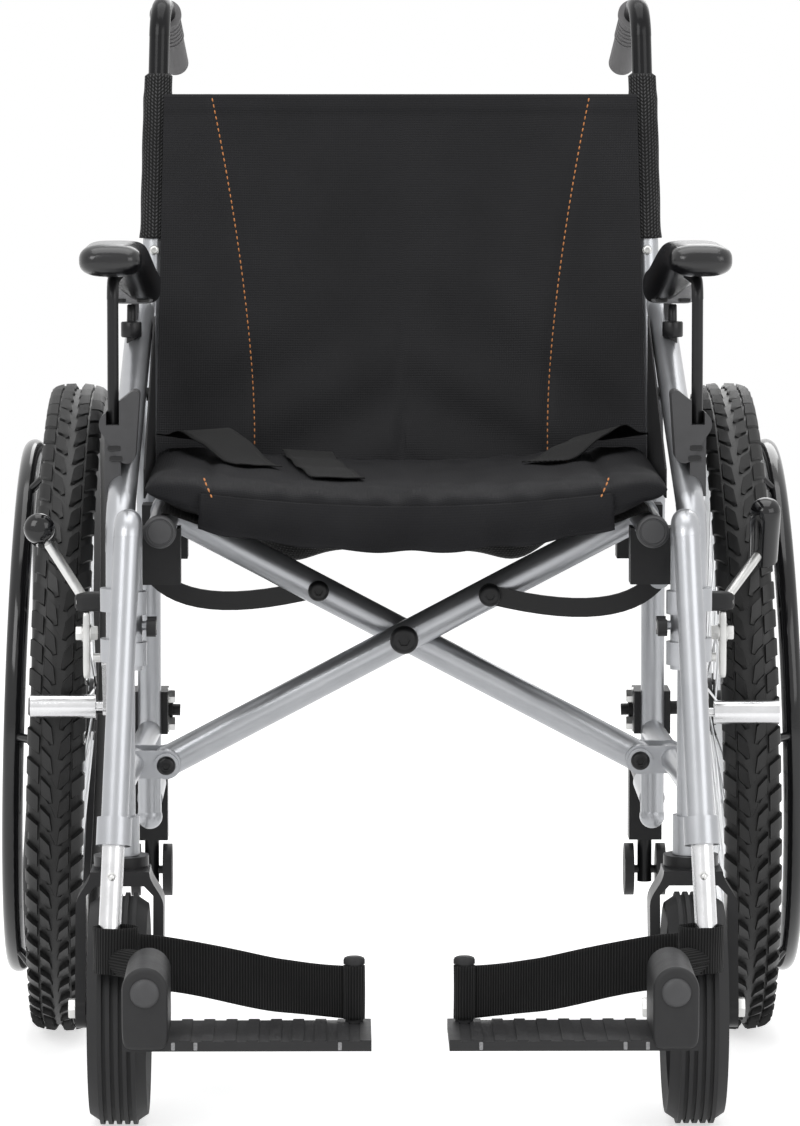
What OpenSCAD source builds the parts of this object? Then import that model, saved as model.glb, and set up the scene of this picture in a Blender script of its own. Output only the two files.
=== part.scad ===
// Folding all terrain wheelchair with cambered knobbly wheels.
// X points to the sitter's left, Y to the rear and Z up; the origin is on the floor under the middle.
// Every piece of a pair is drawn on the +X side and mirrored for the other one.

/* [Side frame] */
// Middle of the chair to the rear post
rear_half_w = 236; // [210:1:260]
// How much further out the front post stands
front_out = 12; // [4:1:20]
// Fore and aft place of the front post
front_post_y = -220; // [-240:1:-205]
// Fore and aft place of the rear post
rear_post_y = 185; // [178:1:200]
// Outer diameter of the front post and sloped side tube
post_d = 25; // [23:0.5:26]
// Outer diameter of the rear post and rails
tube_d = 22; // [20:0.5:24]
// Height of the lower side rail
lower_rail_z = 286; // [276:1:296]
// Height of the upper side rail
upper_rail_z = 478; // [470:1:484]
// Height of the corner between the front post and the sloped tube
slope_front_z = 520; // [512:1:530]
// Height at which the sloped tube meets the back cane
slope_rear_z = 690; // [670:1:705]
// Recline of the back canes in degrees
recline = 8; // [5:0.5:12]
// Top of the back canes
cane_top_z = 896; // [880:1:910]
// How far the canes draw in towards their tops
cane_in = 9; // [2:1:12]

/* [Push handles] */
// Highest point of the handles
handle_top_z = 972; // [962:1:990]
// Diameter of the handle tube
handle_d = 19; // [17:0.5:20]
// Length of the rubber grip
grip_l = 112; // [95:1:125]
// Diameter of the rubber grip
grip_d = 25; // [23:0.5:28]
// Fall of the grips towards the rear in degrees
grip_slope = 25; // [15:1:35]

/* [Folding cross] */
// Rear post to the lower pivots and to the seat rails
rail_inset = 23; // [22:0.5:28]
// Height of the seat rails
rail_z = 510; // [506:1:514]
// Diameter of the seat rails
rail_d = 25; // [22:0.5:25]
// Diameter of the cross tubes
cross_d = 28; // [25:0.5:29]
// Fore and aft place of the front cross tube
cross_a_y = -45; // [-60:1:-40]
// Front end of the seat rails
rail_front_y = -234; // [-240:1:-226]
// Rear end of the seat rails
rail_rear_y = 150; // [140:1:158]

/* [Rear wheels] */
// Rear post to the middle of the rear tyre
wheel_out = 75; // [72:0.5:80]
// Fore and aft place of the rear axle
axle_y = 220; // [214:1:226]
// Outer diameter over the tread blocks
tyre_d = 610; // [600:1:620]
// Width of the tyre
tyre_w = 50; // [46:0.5:52]
// Height of the tread blocks
block_h = 5; // [3:0.5:6]
// Inward lean of the wheels at the top in degrees
camber = 1.8; // [0.5:0.1:3]
// Outer diameter of the handrim
handrim_d = 502; // [490:1:508]
// Diameter of the handrim tube
handrim_tube_d = 19; // [16:0.5:20]
// Spokes in each wheel
spokes = 36; // [28:4:36]

/* [Castors] */
// Castor wheel diameter
castor_d = 200; // [190:1:204]
// Castor wheel width
castor_w = 50; // [44:0.5:52]
// Offset of the castor axle from its swivel
castor_trail = 50; // [42:1:54]

/* [Leg supports] */
// Height of the footplate's upper face
plate_top_z = 115; // [108:1:122]
// Front edge of the footplates
plate_front_y = -525; // [-540:1:-515]
// Length of the footplates fore and aft
plate_l = 105; // [95:1:110]
// Middle of the chair to the inner edge of a footplate
plate_inner = 32; // [31:0.5:40]
// Highest point of the hanger bend
hanger_top_z = 532; // [526:1:540]

/* [Armrests] */
// Length of the arm pad
pad_l = 335; // [310:1:350]
// Width of the arm pad
pad_w = 55; // [48:0.5:58]
// Thickness of the arm pad
pad_t = 29; // [24:0.5:32]
// Upper face of the arm pad
pad_top_z = 757; // [752:1:770]

/* [Seat and back] */
// How far the seat cushion reaches past the seat rails
cushion_over = 13; // [4:0.5:14]
// Thickness of the seat cushion
cushion_t = 34; // [28:0.5:40]
// Drop of the seat's middle below the rails
seat_sag = 22; // [8:0.5:24]
// Lower edge of the back upholstery
back_bottom_z = 512; // [506:1:530]
// Upper edge of the back upholstery
back_top_z = 880; // [860:1:886]

/* [Hidden] */
$fn = 64;

// Radial room of a running fit, room between neighbours, and overrun of every cut
fit = 0.05;
gap = 0.4;
over = 1;

// Widths that follow the rear post
front_half_w = rear_half_w + front_out;
cane_top_half_w = rear_half_w - cane_in;
rail_half_w = rear_half_w - rail_inset;
wheel_half_w = rear_half_w + wheel_out;
cushion_w = (rail_half_w + cushion_over) * 2;

post_r = post_d / 2;
tube_r = tube_d / 2;
rail_r = rail_d / 2;
cross_r = cross_d / 2;

function unit(v) = v / norm(v);
function mix(a, b, t) = a + (b - a) * t;

// Round bar from p to q, with its seam turned by spin
seam_turn = 35;
module rod(p, q, r, spin = 0) {
    d = q - p;
    translate(p)
        rotate([0, acos(d[2] / norm(d)), atan2(d[1], d[0])])
            rotate(spin) cylinder(h = norm(d), r = r);
}

// Bend of a tube at corner c, from direction u to direction v, swollen a little as bent tubes are
bend_swell = 0.2;
bend_lap = 0.8;
module elbow(c, u, v, bend_r, r) {
    turn = acos(u * v);
    start = c - u * bend_r * tan(turn / 2);
    middle = c + unit(v - u) * bend_r / cos(turn / 2);
    e = (start - middle) / bend_r;
    n = cross(e, u);
    multmatrix([
        [e[0], u[0], n[0], middle[0]],
        [e[1], u[1], n[1], middle[1]],
        [e[2], u[2], n[2], middle[2]],
        [0, 0, 0, 1]
    ])
        rotate_extrude(angle = turn)
            translate([bend_r, 0])
                circle(r = r + bend_swell);
}

// Tube along the points pts, bent to bend_r at each inner point
function trim(pts, i, bend_r) =
    i == 0 || i == len(pts) - 1 ? 0 :
    bend_r * tan(acos(unit(pts[i] - pts[i - 1]) * unit(pts[i + 1] - pts[i])) / 2) - bend_lap;
module bent_tube(pts, r, bend_r) {
    for (i = [0:len(pts) - 2]) {
        u = unit(pts[i + 1] - pts[i]);
        rod(pts[i] + u * trim(pts, i, bend_r), pts[i + 1] - u * trim(pts, i + 1, bend_r), r, seam_turn);
    }
    for (i = [1:len(pts) - 2])
        elbow(pts[i], unit(pts[i] - pts[i - 1]), unit(pts[i + 1] - pts[i]), bend_r, r);
}

// Cylinder along Y or X whose middle is at p
module bar_y(p, r, l) {
    translate(p) rotate([90, 0, 0]) cylinder(h = l, r = r, center = true);
}
module bar_x(p, r, l) {
    translate(p) rotate([0, 90, 0]) cylinder(h = l, r = r, center = true);
}
module block(p, size) {
    translate(p) cube(size, center = true);
}

// Flat bar with round ends from p to q, which share one Y; t is its thickness along Y
bar_waist_share = 0.95;
bar_thin = 0.4;
module flat_bar(p, q, r, t) {
    d = q - p;
    bar_y(p, r, t);
    bar_y(q, r, t);
    translate((p + q) / 2)
        rotate([0, -atan2(d[2], d[0]), 0])
            cube([norm(d), t - bar_thin, r * 2 * bar_waist_share], center = true);
}

// Closed solid between two grids of points, the first one on the outside
module shell_solid(outer, inner) {
    rows = len(outer);
    cols = len(outer[0]);
    n = rows * cols;
    points = [for (g = [outer, inner]) for (row = g) for (p = row) p];
    function id(s, i, j) = s * n + i * cols + j;
    faces = concat(
        [for (i = [0:rows - 2], j = [0:cols - 2]) each [
            [id(0, i, j), id(0, i + 1, j), id(0, i + 1, j + 1)],
            [id(0, i, j), id(0, i + 1, j + 1), id(0, i, j + 1)],
            [id(1, i, j), id(1, i + 1, j + 1), id(1, i + 1, j)],
            [id(1, i, j), id(1, i, j + 1), id(1, i + 1, j + 1)]]],
        [for (i = [0:rows - 2]) each [
            [id(0, i, 0), id(1, i, 0), id(1, i + 1, 0)],
            [id(0, i, 0), id(1, i + 1, 0), id(0, i + 1, 0)],
            [id(0, i, cols - 1), id(1, i + 1, cols - 1), id(1, i, cols - 1)],
            [id(0, i, cols - 1), id(0, i + 1, cols - 1), id(1, i + 1, cols - 1)]]],
        [for (j = [0:cols - 2]) each [
            [id(0, 0, j), id(1, 0, j + 1), id(1, 0, j)],
            [id(0, 0, j), id(0, 0, j + 1), id(1, 0, j + 1)],
            [id(0, rows - 1, j), id(1, rows - 1, j), id(1, rows - 1, j + 1)],
            [id(0, rows - 1, j), id(1, rows - 1, j + 1), id(0, rows - 1, j + 1)]]]
    );
    polyhedron(points, faces, convexity = 6);
}

// Side frame: rear post with back cane, front post with sloped tube, two rails
bend_r = 60;
front_bend_r = 42;
rear_foot_z = 205;
front_foot_z = 227;
back_bend_z = 505;
slope_out = 6;
rear_foot = [rear_half_w, rear_post_y, rear_foot_z];
back_bend = [rear_half_w, rear_post_y, back_bend_z];
cane_top = [cane_top_half_w, rear_post_y + (cane_top_z - back_bend_z) * tan(recline), cane_top_z];
function cane_at(z) = mix(back_bend, cane_top, (z - back_bend_z) / (cane_top_z - back_bend_z));
front_foot = [front_half_w, front_post_y, front_foot_z];
front_bend = [front_half_w, front_post_y, slope_front_z];
slope_end = [rear_half_w + slope_out, cane_at(slope_rear_z)[1], slope_rear_z];
function slope_at(y) = mix(front_bend, slope_end, (y - front_post_y) / (slope_end[1] - front_post_y));
function side_at(y, z) = [
    mix(front_half_w, rear_half_w, (y - front_post_y) / (rear_post_y - front_post_y)), y, z
];
stub_z = 222;
stub_l = 115;
stub_r = 12;
stem_r = 8;
stem_top_z = 300;
collar_r = 16;
collar_h = 34;
lug_t = 5;
lug_r = 13;
pivot_pin_r = 5;
sleeve_r = 13;
sleeve_l = 36;
pivot_head_r = 11;
pivot_head_t = 6;
cross_gap = 3;
cross_b_y = cross_a_y + cross_d + cross_gap;
link_t = 5;
link_out = 15;
link_half_w = rail_half_w + link_out;
link_z = 454;
link_r = 10;
pivot = [rail_half_w, lower_rail_z];
link_b_y = cross_b_y + cross_r + gap + link_t / 2;
link_a_y = cross_a_y - cross_r - gap - link_t / 2;

foot_cap_wall = 0.8;
pin_proud = 2;
rail_step = 0.4;
side_rail_r = tube_r - rail_step;
module frame_side(pivot_y, link_y, link_side) {
    pivot_p = [rail_half_w, pivot_y, lower_rail_z];
    link_p = [link_half_w, link_y, link_z];
    lug_y = link_y + link_side * (link_t + gap);
    lug_gap = sleeve_l / 2 + gap + lug_t / 2;
    pin_tail = lug_t / 2 + pin_proud;
    head_l = lug_t / 2 + pivot_head_t;
    difference() {
        union() {
            bent_tube([rear_foot, back_bend, cane_top], tube_r, bend_r);
            translate(rear_foot) sphere(r = tube_r + foot_cap_wall);
            bent_tube([front_foot, front_bend, slope_end], post_r, front_bend_r);
            translate(front_foot) cylinder(h = collar_h, r = collar_r);
            rod(side_at(front_post_y, lower_rail_z), side_at(rear_post_y, lower_rail_z), side_rail_r);
            rod(side_at(front_post_y, upper_rail_z), side_at(rear_post_y, upper_rail_z), side_rail_r);
            rod([rear_half_w, rear_post_y, stub_z], [rear_half_w, rear_post_y + stub_l, stub_z], stub_r);
            for (s = [-1, 1]) {
                y = pivot_y + s * lug_gap;
                flat_bar([rail_half_w, y, lower_rail_z], side_at(y, lower_rail_z), lug_r, lug_t);
            }
            bar_y(pivot_p + [0, pin_tail / 2, 0], pivot_pin_r, lug_gap * 2 + pin_tail);
            bar_y(pivot_p - [0, lug_gap + head_l / 2, 0], pivot_head_r, head_l);
            flat_bar([link_half_w, lug_y, link_z], side_at(lug_y, upper_rail_z), link_r, link_t);
            bar_y(link_p, pivot_pin_r, link_t * 2 + gap * 2);
        }
        translate([front_half_w, front_post_y, front_foot_z - over])
            cylinder(h = stem_top_z - front_foot_z + over, r = stem_r + fit);
    }
}
module right_frame() { color("lightgray") frame_side(cross_b_y, link_a_y, -1); }
module left_frame() { color("lightgray") mirror([1, 0, 0]) frame_side(cross_a_y, link_b_y, 1); }

// Push handle: black tube out of the cane's top, bent to the rear, with a ribbed grip on its end
handle_r = handle_d / 2;
handle_bend_r = 32;
handle_tail = 52;
cane_dir = unit(cane_top - back_bend);
grip_in_share = 0.06;
grip_dir = unit([-grip_in_share, cos(grip_slope), -sin(grip_slope)]);
handle_turn = acos(cane_dir * grip_dir);
handle_lift = unit(grip_dir - cane_dir)[2] * handle_bend_r / cos(handle_turn / 2);
handle_corner = cane_at(handle_top_z - handle_r - handle_bend_r - handle_lift);
handle_start = cane_top + cane_dir * gap;
grip_start = handle_corner + grip_dir * handle_tail;
grip_end = grip_start + grip_dir * grip_l;
grip_ribs = 6;
rib_h = 0.9;
grip_plain_share = 0.55;
rib_share = 0.5;
grip_flange_r = 15;
grip_flange_t = 4;

module push_handle() {
    color("#202022")
        bent_tube([handle_start, handle_corner, grip_end - grip_dir * grip_flange_t], handle_r, handle_bend_r);
}
module push_grip() {
    ribbed_l = grip_l * (1 - grip_plain_share) - grip_flange_t;
    pitch = ribbed_l / grip_ribs;
    first = grip_start + grip_dir * grip_flange_t;
    color("#3a3a3c")
        difference() {
            union() {
                rod(grip_start, grip_end, grip_d / 2);
                rod(grip_start, first, grip_flange_r);
                for (i = [1:grip_ribs])
                    rod(
                        first + grip_dir * pitch * (i - rib_share), first + grip_dir * pitch * i,
                        grip_d / 2 + rib_h);
            }
            rod(grip_start - grip_dir * over, grip_end - grip_dir * grip_flange_t, handle_r + fit);
        }
}

// Seat rail cradles: two black saddles on the upper side rail that the seat rail drops into
cradle_l = 34;
cradle_under = 9;
cradle_in = 16;
cradle_shares = [0.2, 0.85];
cradle_low_share = 0.2;
module rail_cradles() {
    top_z = rail_z - rail_r * cradle_low_share;
    low_z = upper_rail_z - tube_r - cradle_under;
    color("#242426")
        for (share = cradle_shares) {
            y = mix(rail_front_y, rail_rear_y, share);
            outer_x = side_at(y, upper_rail_z)[0];
            inner_x = rail_half_w - cradle_in;
            difference() {
                block(
                    [(inner_x + outer_x) / 2, y, (top_z + low_z) / 2],
                    [outer_x - inner_x, cradle_l, top_z - low_z]);
                bar_y([rail_half_w, y, rail_z], rail_r + gap, cradle_l + over);
                rod(side_at(front_post_y, upper_rail_z), side_at(rear_post_y, upper_rail_z), side_rail_r + fit);
            }
        }
}

// Folding cross: each tube turns on the lower rail of one side and carries the seat rail of the other
rail_cap_wall = 0.8;
rail_cap_r = rail_r + rail_cap_wall;
rail_cap_t = 4;
clamp_wall = 2;
clamp_r = rail_r + clamp_wall;
clamp_l = 46;
bolt_r = 5;
cross_mid_z = (lower_rail_z + rail_z) / 2;
module cross_tube(s, y) {
    foot = [-s * rail_half_w, y, lower_rail_z];
    top = [s * rail_half_w, y, rail_z];
    difference() {
        union() {
            rod(foot, top, cross_r);
            bar_y(foot, sleeve_r, sleeve_l);
            rod([s * rail_half_w, rail_front_y, rail_z], [s * rail_half_w, rail_rear_y, rail_z], rail_r);
            rod(
                [s * rail_half_w, rail_front_y - rail_cap_t, rail_z], [s * rail_half_w, rail_front_y, rail_z],
                rail_cap_r);
            bar_y(top, clamp_r, clamp_l);
        }
        bar_y(foot, pivot_pin_r + fit, sleeve_l + over);
        bar_y([0, y, cross_mid_z], bolt_r + fit, cross_d + over);
    }
}
module cross_tube_a() { color("silver") cross_tube(1, cross_a_y); }
module cross_tube_b() { color("silver") cross_tube(-1, cross_b_y); }

// Middle bolt of the cross, with a washer between the tubes
bolt_head_r = 12;
bolt_head_t = 8;
module cross_bolt() {
    front_y = cross_a_y - cross_r;
    rear_y = cross_b_y + cross_r;
    color("#303032") {
        rod([0, front_y - bolt_head_t, cross_mid_z], [0, rear_y + bolt_head_t, cross_mid_z], bolt_r);
        rod([0, front_y - bolt_head_t, cross_mid_z], [0, front_y - gap, cross_mid_z], bolt_head_r);
        rod([0, cross_a_y + cross_r + gap, cross_mid_z], [0, cross_b_y - cross_r - gap, cross_mid_z], bolt_head_r);
        rod([0, rear_y + gap, cross_mid_z], [0, rear_y + bolt_head_t, cross_mid_z], bolt_head_r);
    }
}

// Steadying link: a bowed flat bar from the upper rail to a cross tube
link_reach_share = 0.64;
link_bow = 42;
link_bow_share = 0.21;
link_waist_share = 0.85;
link_steps = 14;
link_end = [rail_half_w * (1 - link_reach_share), mix(cross_mid_z, rail_z, 1 - link_reach_share)];
link_head_r = 9;
link_head_t = 7;
module link(y, head_side) {
    from = [link_half_w, link_z];
    pull = mix(from, link_end, link_bow_share) - [0, link_bow];
    function at(t) = mix(mix(from, pull, t), mix(pull, link_end, t), t);
    function way(t) = unit(mix(pull - from, link_end - pull, t));
    function side(t) = [-way(t)[1], way(t)[0]] * link_r * link_waist_share;
    ts = [for (i = [0:link_steps]) i / link_steps];
    color("#262628")
        difference() {
            union() {
                translate([0, y + (link_t - bar_thin) / 2, 0])
                    rotate([90, 0, 0])
                        linear_extrude(link_t - bar_thin)
                            polygon(concat(
                                [for (t = ts) at(t) + side(t)],
                                [for (i = [link_steps:-1:0]) at(ts[i]) - side(ts[i])]));
                bar_y([from[0], y, from[1]], link_r, link_t);
                bar_y([link_end[0], y, link_end[1]], link_r, link_t);
                bar_y(
                    [link_end[0], y + head_side * (link_t + link_head_t) / 2, link_end[1]],
                    link_head_r, link_head_t);
            }
            bar_y([from[0], y, from[1]], pivot_pin_r + fit, link_t + over);
        }
}
module link_left() { mirror([1, 0, 0]) link(link_b_y, 1); }
module link_right() { link(link_a_y, -1); }

// Seat: a mesh sling hung in a trough across the rails, with the cover's front flap, and a padded cushion on it
sling_t = 3;
sling_back = 8;
sling_steps = 24;
sling_front_y = rail_front_y + sling_back;
sling_rear_y = rail_rear_y;
sling_z = rail_z + clamp_r + gap;
cushion_front_y = -238;
cushion_rear_y = 166;
cushion_bottom_z = sling_z + sling_t + gap;
flap_half_w = 178;
flap_t = 2;
flap_low_z = 493;
flap_lift = 18;
flap_top_share = 0.3;
function trough(x) = seat_sag * (1 - pow(min(abs(x) / rail_half_w, 1), 2));
module seat_sling() {
    xs = [for (i = [0:sling_steps]) rail_half_w * (i / sling_steps * 2 - 1)];
    fs = [for (i = [0:sling_steps]) flap_half_w * (i / sling_steps * 2 - 1)];
    function flap_top(x) = cushion_bottom_z - trough(x) + cushion_t * flap_top_share;
    color("#1a1a1c") {
        translate([0, sling_rear_y, 0])
            rotate([90, 0, 0])
                linear_extrude(sling_rear_y - sling_front_y)
                    polygon(concat(
                        [for (x = xs) [x, sling_z - trough(x)]],
                        [for (i = [sling_steps:-1:0]) [xs[i], sling_z + sling_t - trough(xs[i])]]));
        translate([0, cushion_front_y - gap, 0])
            rotate([90, 0, 0])
                linear_extrude(flap_t)
                    polygon(concat(
                        [for (x = fs) [x, flap_low_z + flap_lift * pow(x / flap_half_w, 2)]],
                        [for (i = [sling_steps:-1:0]) [fs[i], flap_top(fs[i])]]));
    }
}
cushion_cols = 24;
cushion_rows = 16;
crown_power = 6;
edge_share = 0.42;
pinch_share = 0.12;
function crown(u) = pow(1 - pow(abs(u), crown_power), 1 / 3);
module seat_cushion() {
    half = cushion_w / 2;
    pinch = cushion_t * pinch_share;
    us = [for (i = [0:cushion_cols]) sin(90 * (i / cushion_cols * 2 - 1))];
    vs = [for (j = [0:cushion_rows]) sin(90 * (j / cushion_rows * 2 - 1))];
    function px(u, v) = u * (half - pinch * (1 - v * v));
    function py(u, v) = mix(cushion_front_y, cushion_rear_y, (v + 1) / 2) - max(v, 0) * pinch * (1 - u * u);
    function low(u, v) = cushion_bottom_z - trough(px(u, v));
    function top(u, v) = low(u, v) + cushion_t * (edge_share + (1 - edge_share) * crown(u) * crown(v));
    outer = [for (u = us) [for (v = vs) [px(u, v), py(u, v), top(u, v)]]];
    inner = [for (u = us) [for (v = vs) [px(u, v), py(u, v), low(u, v)]]];
    color("#1c1c1e") shell_solid(outer, inner);
}

// Back upholstery: nylon hung between the canes, bellied to the rear
back_t = 9;
back_belly = 22;
belly_shares = [0.15, 0.85];
back_cols = 20;
back_rows = 12;
sleeve_wall = 2.2;
cane_room = gap * 2;
cane_sleeve_r = tube_r + gap + sleeve_wall;
module back_upholstery() {
    us = [for (i = [0:back_cols]) i / back_cols * 2 - 1];
    zs = [for (j = [0:back_rows]) mix(back_bottom_z, back_top_z, j / back_rows)];
    function rise_share(z) = (z - back_bottom_z) / (back_top_z - back_bottom_z);
    function bx(u, z) = u * (cane_at(z)[0] - cane_sleeve_r - cane_room);
    function by(u, z) =
        cane_at(z)[1] + back_belly * (1 - u * u) * sin(180 * mix(belly_shares[0], belly_shares[1], rise_share(z)));
    front = [for (u = us) [for (z = zs) [bx(u, z), by(u, z) - back_t, z]]];
    rear = [for (u = us) [for (z = zs) [bx(u, z), by(u, z), z]]];
    color("#18181a") shell_solid(rear, front);
}

// Mesh sleeve of the upholstery round the bare cane
sleeve_low_z = 746;
module cane_sleeve() {
    color("#2a2a2c")
        difference() {
            rod(cane_at(sleeve_low_z), cane_at(back_top_z), cane_sleeve_r);
            rod(cane_at(sleeve_low_z - over), cane_at(back_top_z + over), tube_r + fit);
        }
}

// Side panel: thin black skirt guard inside the sloped tube, on two spacers
panel_t = 1.6;
panel_room = 0.7;
panel_in = rail_half_w + clamp_r + panel_room;
panel_low_z = 532;
panel_front_y = -150;
panel_rear_y = 152;
panel_spacer_r = 6;
panel_spacer_shares = [0.55, 0.93];
panel_rise = 10;
module side_panel() {
    front_z = slope_at(panel_front_y)[2] + panel_rise;
    rear_z = slope_at(panel_rear_y)[2] + panel_rise;
    color("#1e1e20") {
        translate([panel_in, 0, 0])
            rotate([90, 0, 90])
                linear_extrude(panel_t)
                    polygon([
                        [panel_front_y, panel_low_z], [panel_rear_y, panel_low_z],
                        [panel_rear_y, rear_z], [panel_front_y, front_z]]);
        for (share = panel_spacer_shares) {
            seat = slope_at(mix(panel_front_y, panel_rear_y, share));
            rod([panel_in, seat[1], seat[2]], [seat[0] - post_r - fit, seat[1], seat[2]], panel_spacer_r);
        }
    }
}

// Armrest: black rod frame that swings up about a pin behind, its front leg in an open socket
arm_out = 8;
arm_x = front_half_w + arm_out;
arm_rod_r = 5;
arm_pivot_y = 150;
arm_pivot_z = 700;
arm_pin_r = 4;
arm_eye_r = 9;
arm_eye_l = 12;
arm_leg_y = -150;
arm_leg_z = 598;
arm_bar_drop = 9;
arm_bend_r = 16;
arm_rear_share = 0.72;
pad_front_y = -212;
pad_rear_y = pad_front_y + pad_l;
pad_low_z = pad_top_z - pad_t;
arm_bar_z = pad_low_z - arm_rod_r - bend_swell - fit;
module armrest_frame() {
    leg = [arm_x, arm_leg_y, arm_leg_z];
    front_top = [arm_x, arm_leg_y, arm_bar_z];
    rear_top = [arm_x, mix(arm_leg_y, arm_pivot_y, arm_rear_share), arm_bar_z];
    eye = [arm_x, arm_pivot_y, arm_pivot_z];
    color("#222224")
        difference() {
            union() {
                bent_tube([leg, front_top, rear_top, eye], arm_rod_r, arm_bend_r);
                bar_x(eye, arm_eye_r, arm_eye_l);
            }
            bar_x(eye, arm_pin_r + fit, arm_eye_l + over);
        }
}
pad_corner_r = 12;
module armrest_pad() {
    color("#1b1b1d")
        translate([arm_x, pad_front_y, pad_low_z])
            difference() {
                translate([0, pad_l, 0])
                    rotate([90, 0, 0])
                        linear_extrude(pad_l) {
                            translate([-pad_w / 2, 0]) square([pad_w, pad_t - pad_corner_r]);
                            translate([-pad_w / 2 + pad_corner_r, 0]) square([pad_w - pad_corner_r * 2, pad_t]);
                            for (s = [-1, 1])
                                translate([s * (pad_w / 2 - pad_corner_r), pad_t - pad_corner_r])
                                    circle(r = pad_corner_r);
                        }
                for (end = [0, 1])
                    translate([0, end * pad_l, 0])
                        difference() {
                            translate([
                                -pad_w / 2 - over, pad_corner_r * (end - 1) - pad_corner_r * 2 * end,
                                pad_t - pad_corner_r])
                                cube([pad_w + over * 2, pad_corner_r * 2, pad_corner_r + over]);
                            translate([0, (1 - 2 * end) * pad_corner_r, pad_t - pad_corner_r])
                                rotate([0, 90, 0])
                                    cylinder(h = pad_w + over * 4, r = pad_corner_r, center = true);
                            translate([-pad_w, (1 - 2 * end) * pad_corner_r - pad_l * end, 0])
                                cube([pad_w * 2, pad_l, pad_t * 2]);
                        }
            }
}

// Armrest bracket: rounded moulding with an open front socket on the sloped tube, and a rear lug with its pin
socket_l = 40;
socket_body_r = 12;
socket_wing_r = 4.5;
socket_wing = [19, 25];
socket_heel_r = 8;
socket_heel = [12, -26];
socket_leg_w = 14;
socket_top_z = 626;
arm_lug_t = 6;
arm_lug_l = 26;
module armrest_socket() {
    seat = slope_at(arm_leg_y);
    body = [arm_x, arm_leg_z];
    room = arm_rod_r + gap * 2;
    rear = slope_at(arm_pivot_y);
    lug_x = arm_x - arm_eye_l / 2 - gap - arm_lug_t / 2;
    head_x = arm_x + arm_eye_l / 2 + gap;
    head_end = [head_x + arm_lug_t / 2, arm_pivot_y, arm_pivot_z];
    color("#232325")
        difference() {
            union() {
                translate([0, arm_leg_y + socket_l / 2, 0])
                    rotate([90, 0, 0])
                        linear_extrude(socket_l)
                            hull() {
                                translate(body) circle(r = socket_body_r);
                                translate(body + [-socket_wing[0], socket_wing[1]]) circle(r = socket_wing_r);
                                translate(body + [-socket_heel[0], socket_heel[1]]) circle(r = socket_heel_r);
                            }
                block(
                    [arm_x, arm_leg_y, (seat[2] - post_r + arm_leg_z) / 2],
                    [socket_leg_w, socket_l - over * 2, arm_leg_z - seat[2] + post_r]);
                bar_x([lug_x, arm_pivot_y, arm_pivot_z], arm_lug_l / 2, arm_lug_t);
                block(
                    [lug_x, arm_pivot_y, (arm_pivot_z + rear[2]) / 2],
                    [arm_lug_t, arm_lug_l, arm_pivot_z - rear[2]]);
                rod([lug_x, arm_pivot_y, arm_pivot_z], head_end, arm_pin_r);
                rod([head_x, arm_pivot_y, arm_pivot_z], head_end, arm_eye_r);
            }
            rod(front_bend, slope_end, post_r + fit);
            translate([arm_x, arm_leg_y, arm_leg_z - gap]) {
                cylinder(h = socket_top_z, r = room);
                translate([-room, -socket_l, 0]) cube([room * 2, socket_l, socket_top_z]);
            }
        }
}

// Rear wheel, drawn about its own axis and leaned in by the camber
tyre_bead_r = 276;
rim_in_r = 257;
rim_w = 30;
rim_room = 0.4;
tyre_rings = 192;
rings_a_block = 4;
// Tread section as shares of the half width and of the section's height
tread_x_shares = [0.56, 0.86, 1, 0.96, 0.8, 0.42, 0.14];
tread_r_shares = [0, 0.25, 0.5, 0.76, 0.93, 0.99, 1];
tread_block_shares = [0, 0, 0, 0.8, 1, 1, 1];
first_centre_point = 5;
tyre_r = tyre_d / 2;
tyre_h = tyre_r - block_h - tyre_bead_r;
// Middle and shoulder blocks take turns round the tyre
function raised(i, k) = (i % rings_a_block < rings_a_block / 2) == (k >= first_centre_point) ? 1 : 0;
function tread_r(i, k) =
    tyre_bead_r + tyre_h * tread_r_shares[k] + block_h * tread_block_shares[k] * raised(i, k);
tread_n = len(tread_x_shares);
axle_z = max([for (i = [0:rings_a_block - 1], k = [0:tread_n - 1])
    tread_r(i, k) * cos(camber) + tyre_w / 2 * tread_x_shares[k] * sin(camber)]);
wheel_at = [wheel_half_w, axle_y, axle_z];
axle_dir = [cos(camber), 0, sin(camber)];
module wheel_place() {
    translate(wheel_at) rotate([0, 90 - camber, 0]) children();
}
module rear_tyre() {
    n = tread_n * 2;
    function ring(i, j) =
        let (left = j < tread_n, k = left ? j : n - 1 - j, a = 360 * i / tyre_rings, r = tread_r(i, k))
        [r * cos(a), r * sin(a), (left ? -1 : 1) * tyre_w / 2 * tread_x_shares[k]];
    points = [for (i = [0:tyre_rings - 1], j = [0:n - 1]) ring(i, j)];
    function id(i, j) = (i % tyre_rings) * n + j % n;
    faces = [for (i = [0:tyre_rings - 1], j = [0:n - 1]) each [
        [id(i, j), id(i + 1, j + 1), id(i + 1, j)],
        [id(i, j), id(i, j + 1), id(i + 1, j + 1)]]];
    color("#1a1a1b") wheel_place() polyhedron(points, faces, convexity = 8);
}

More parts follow.
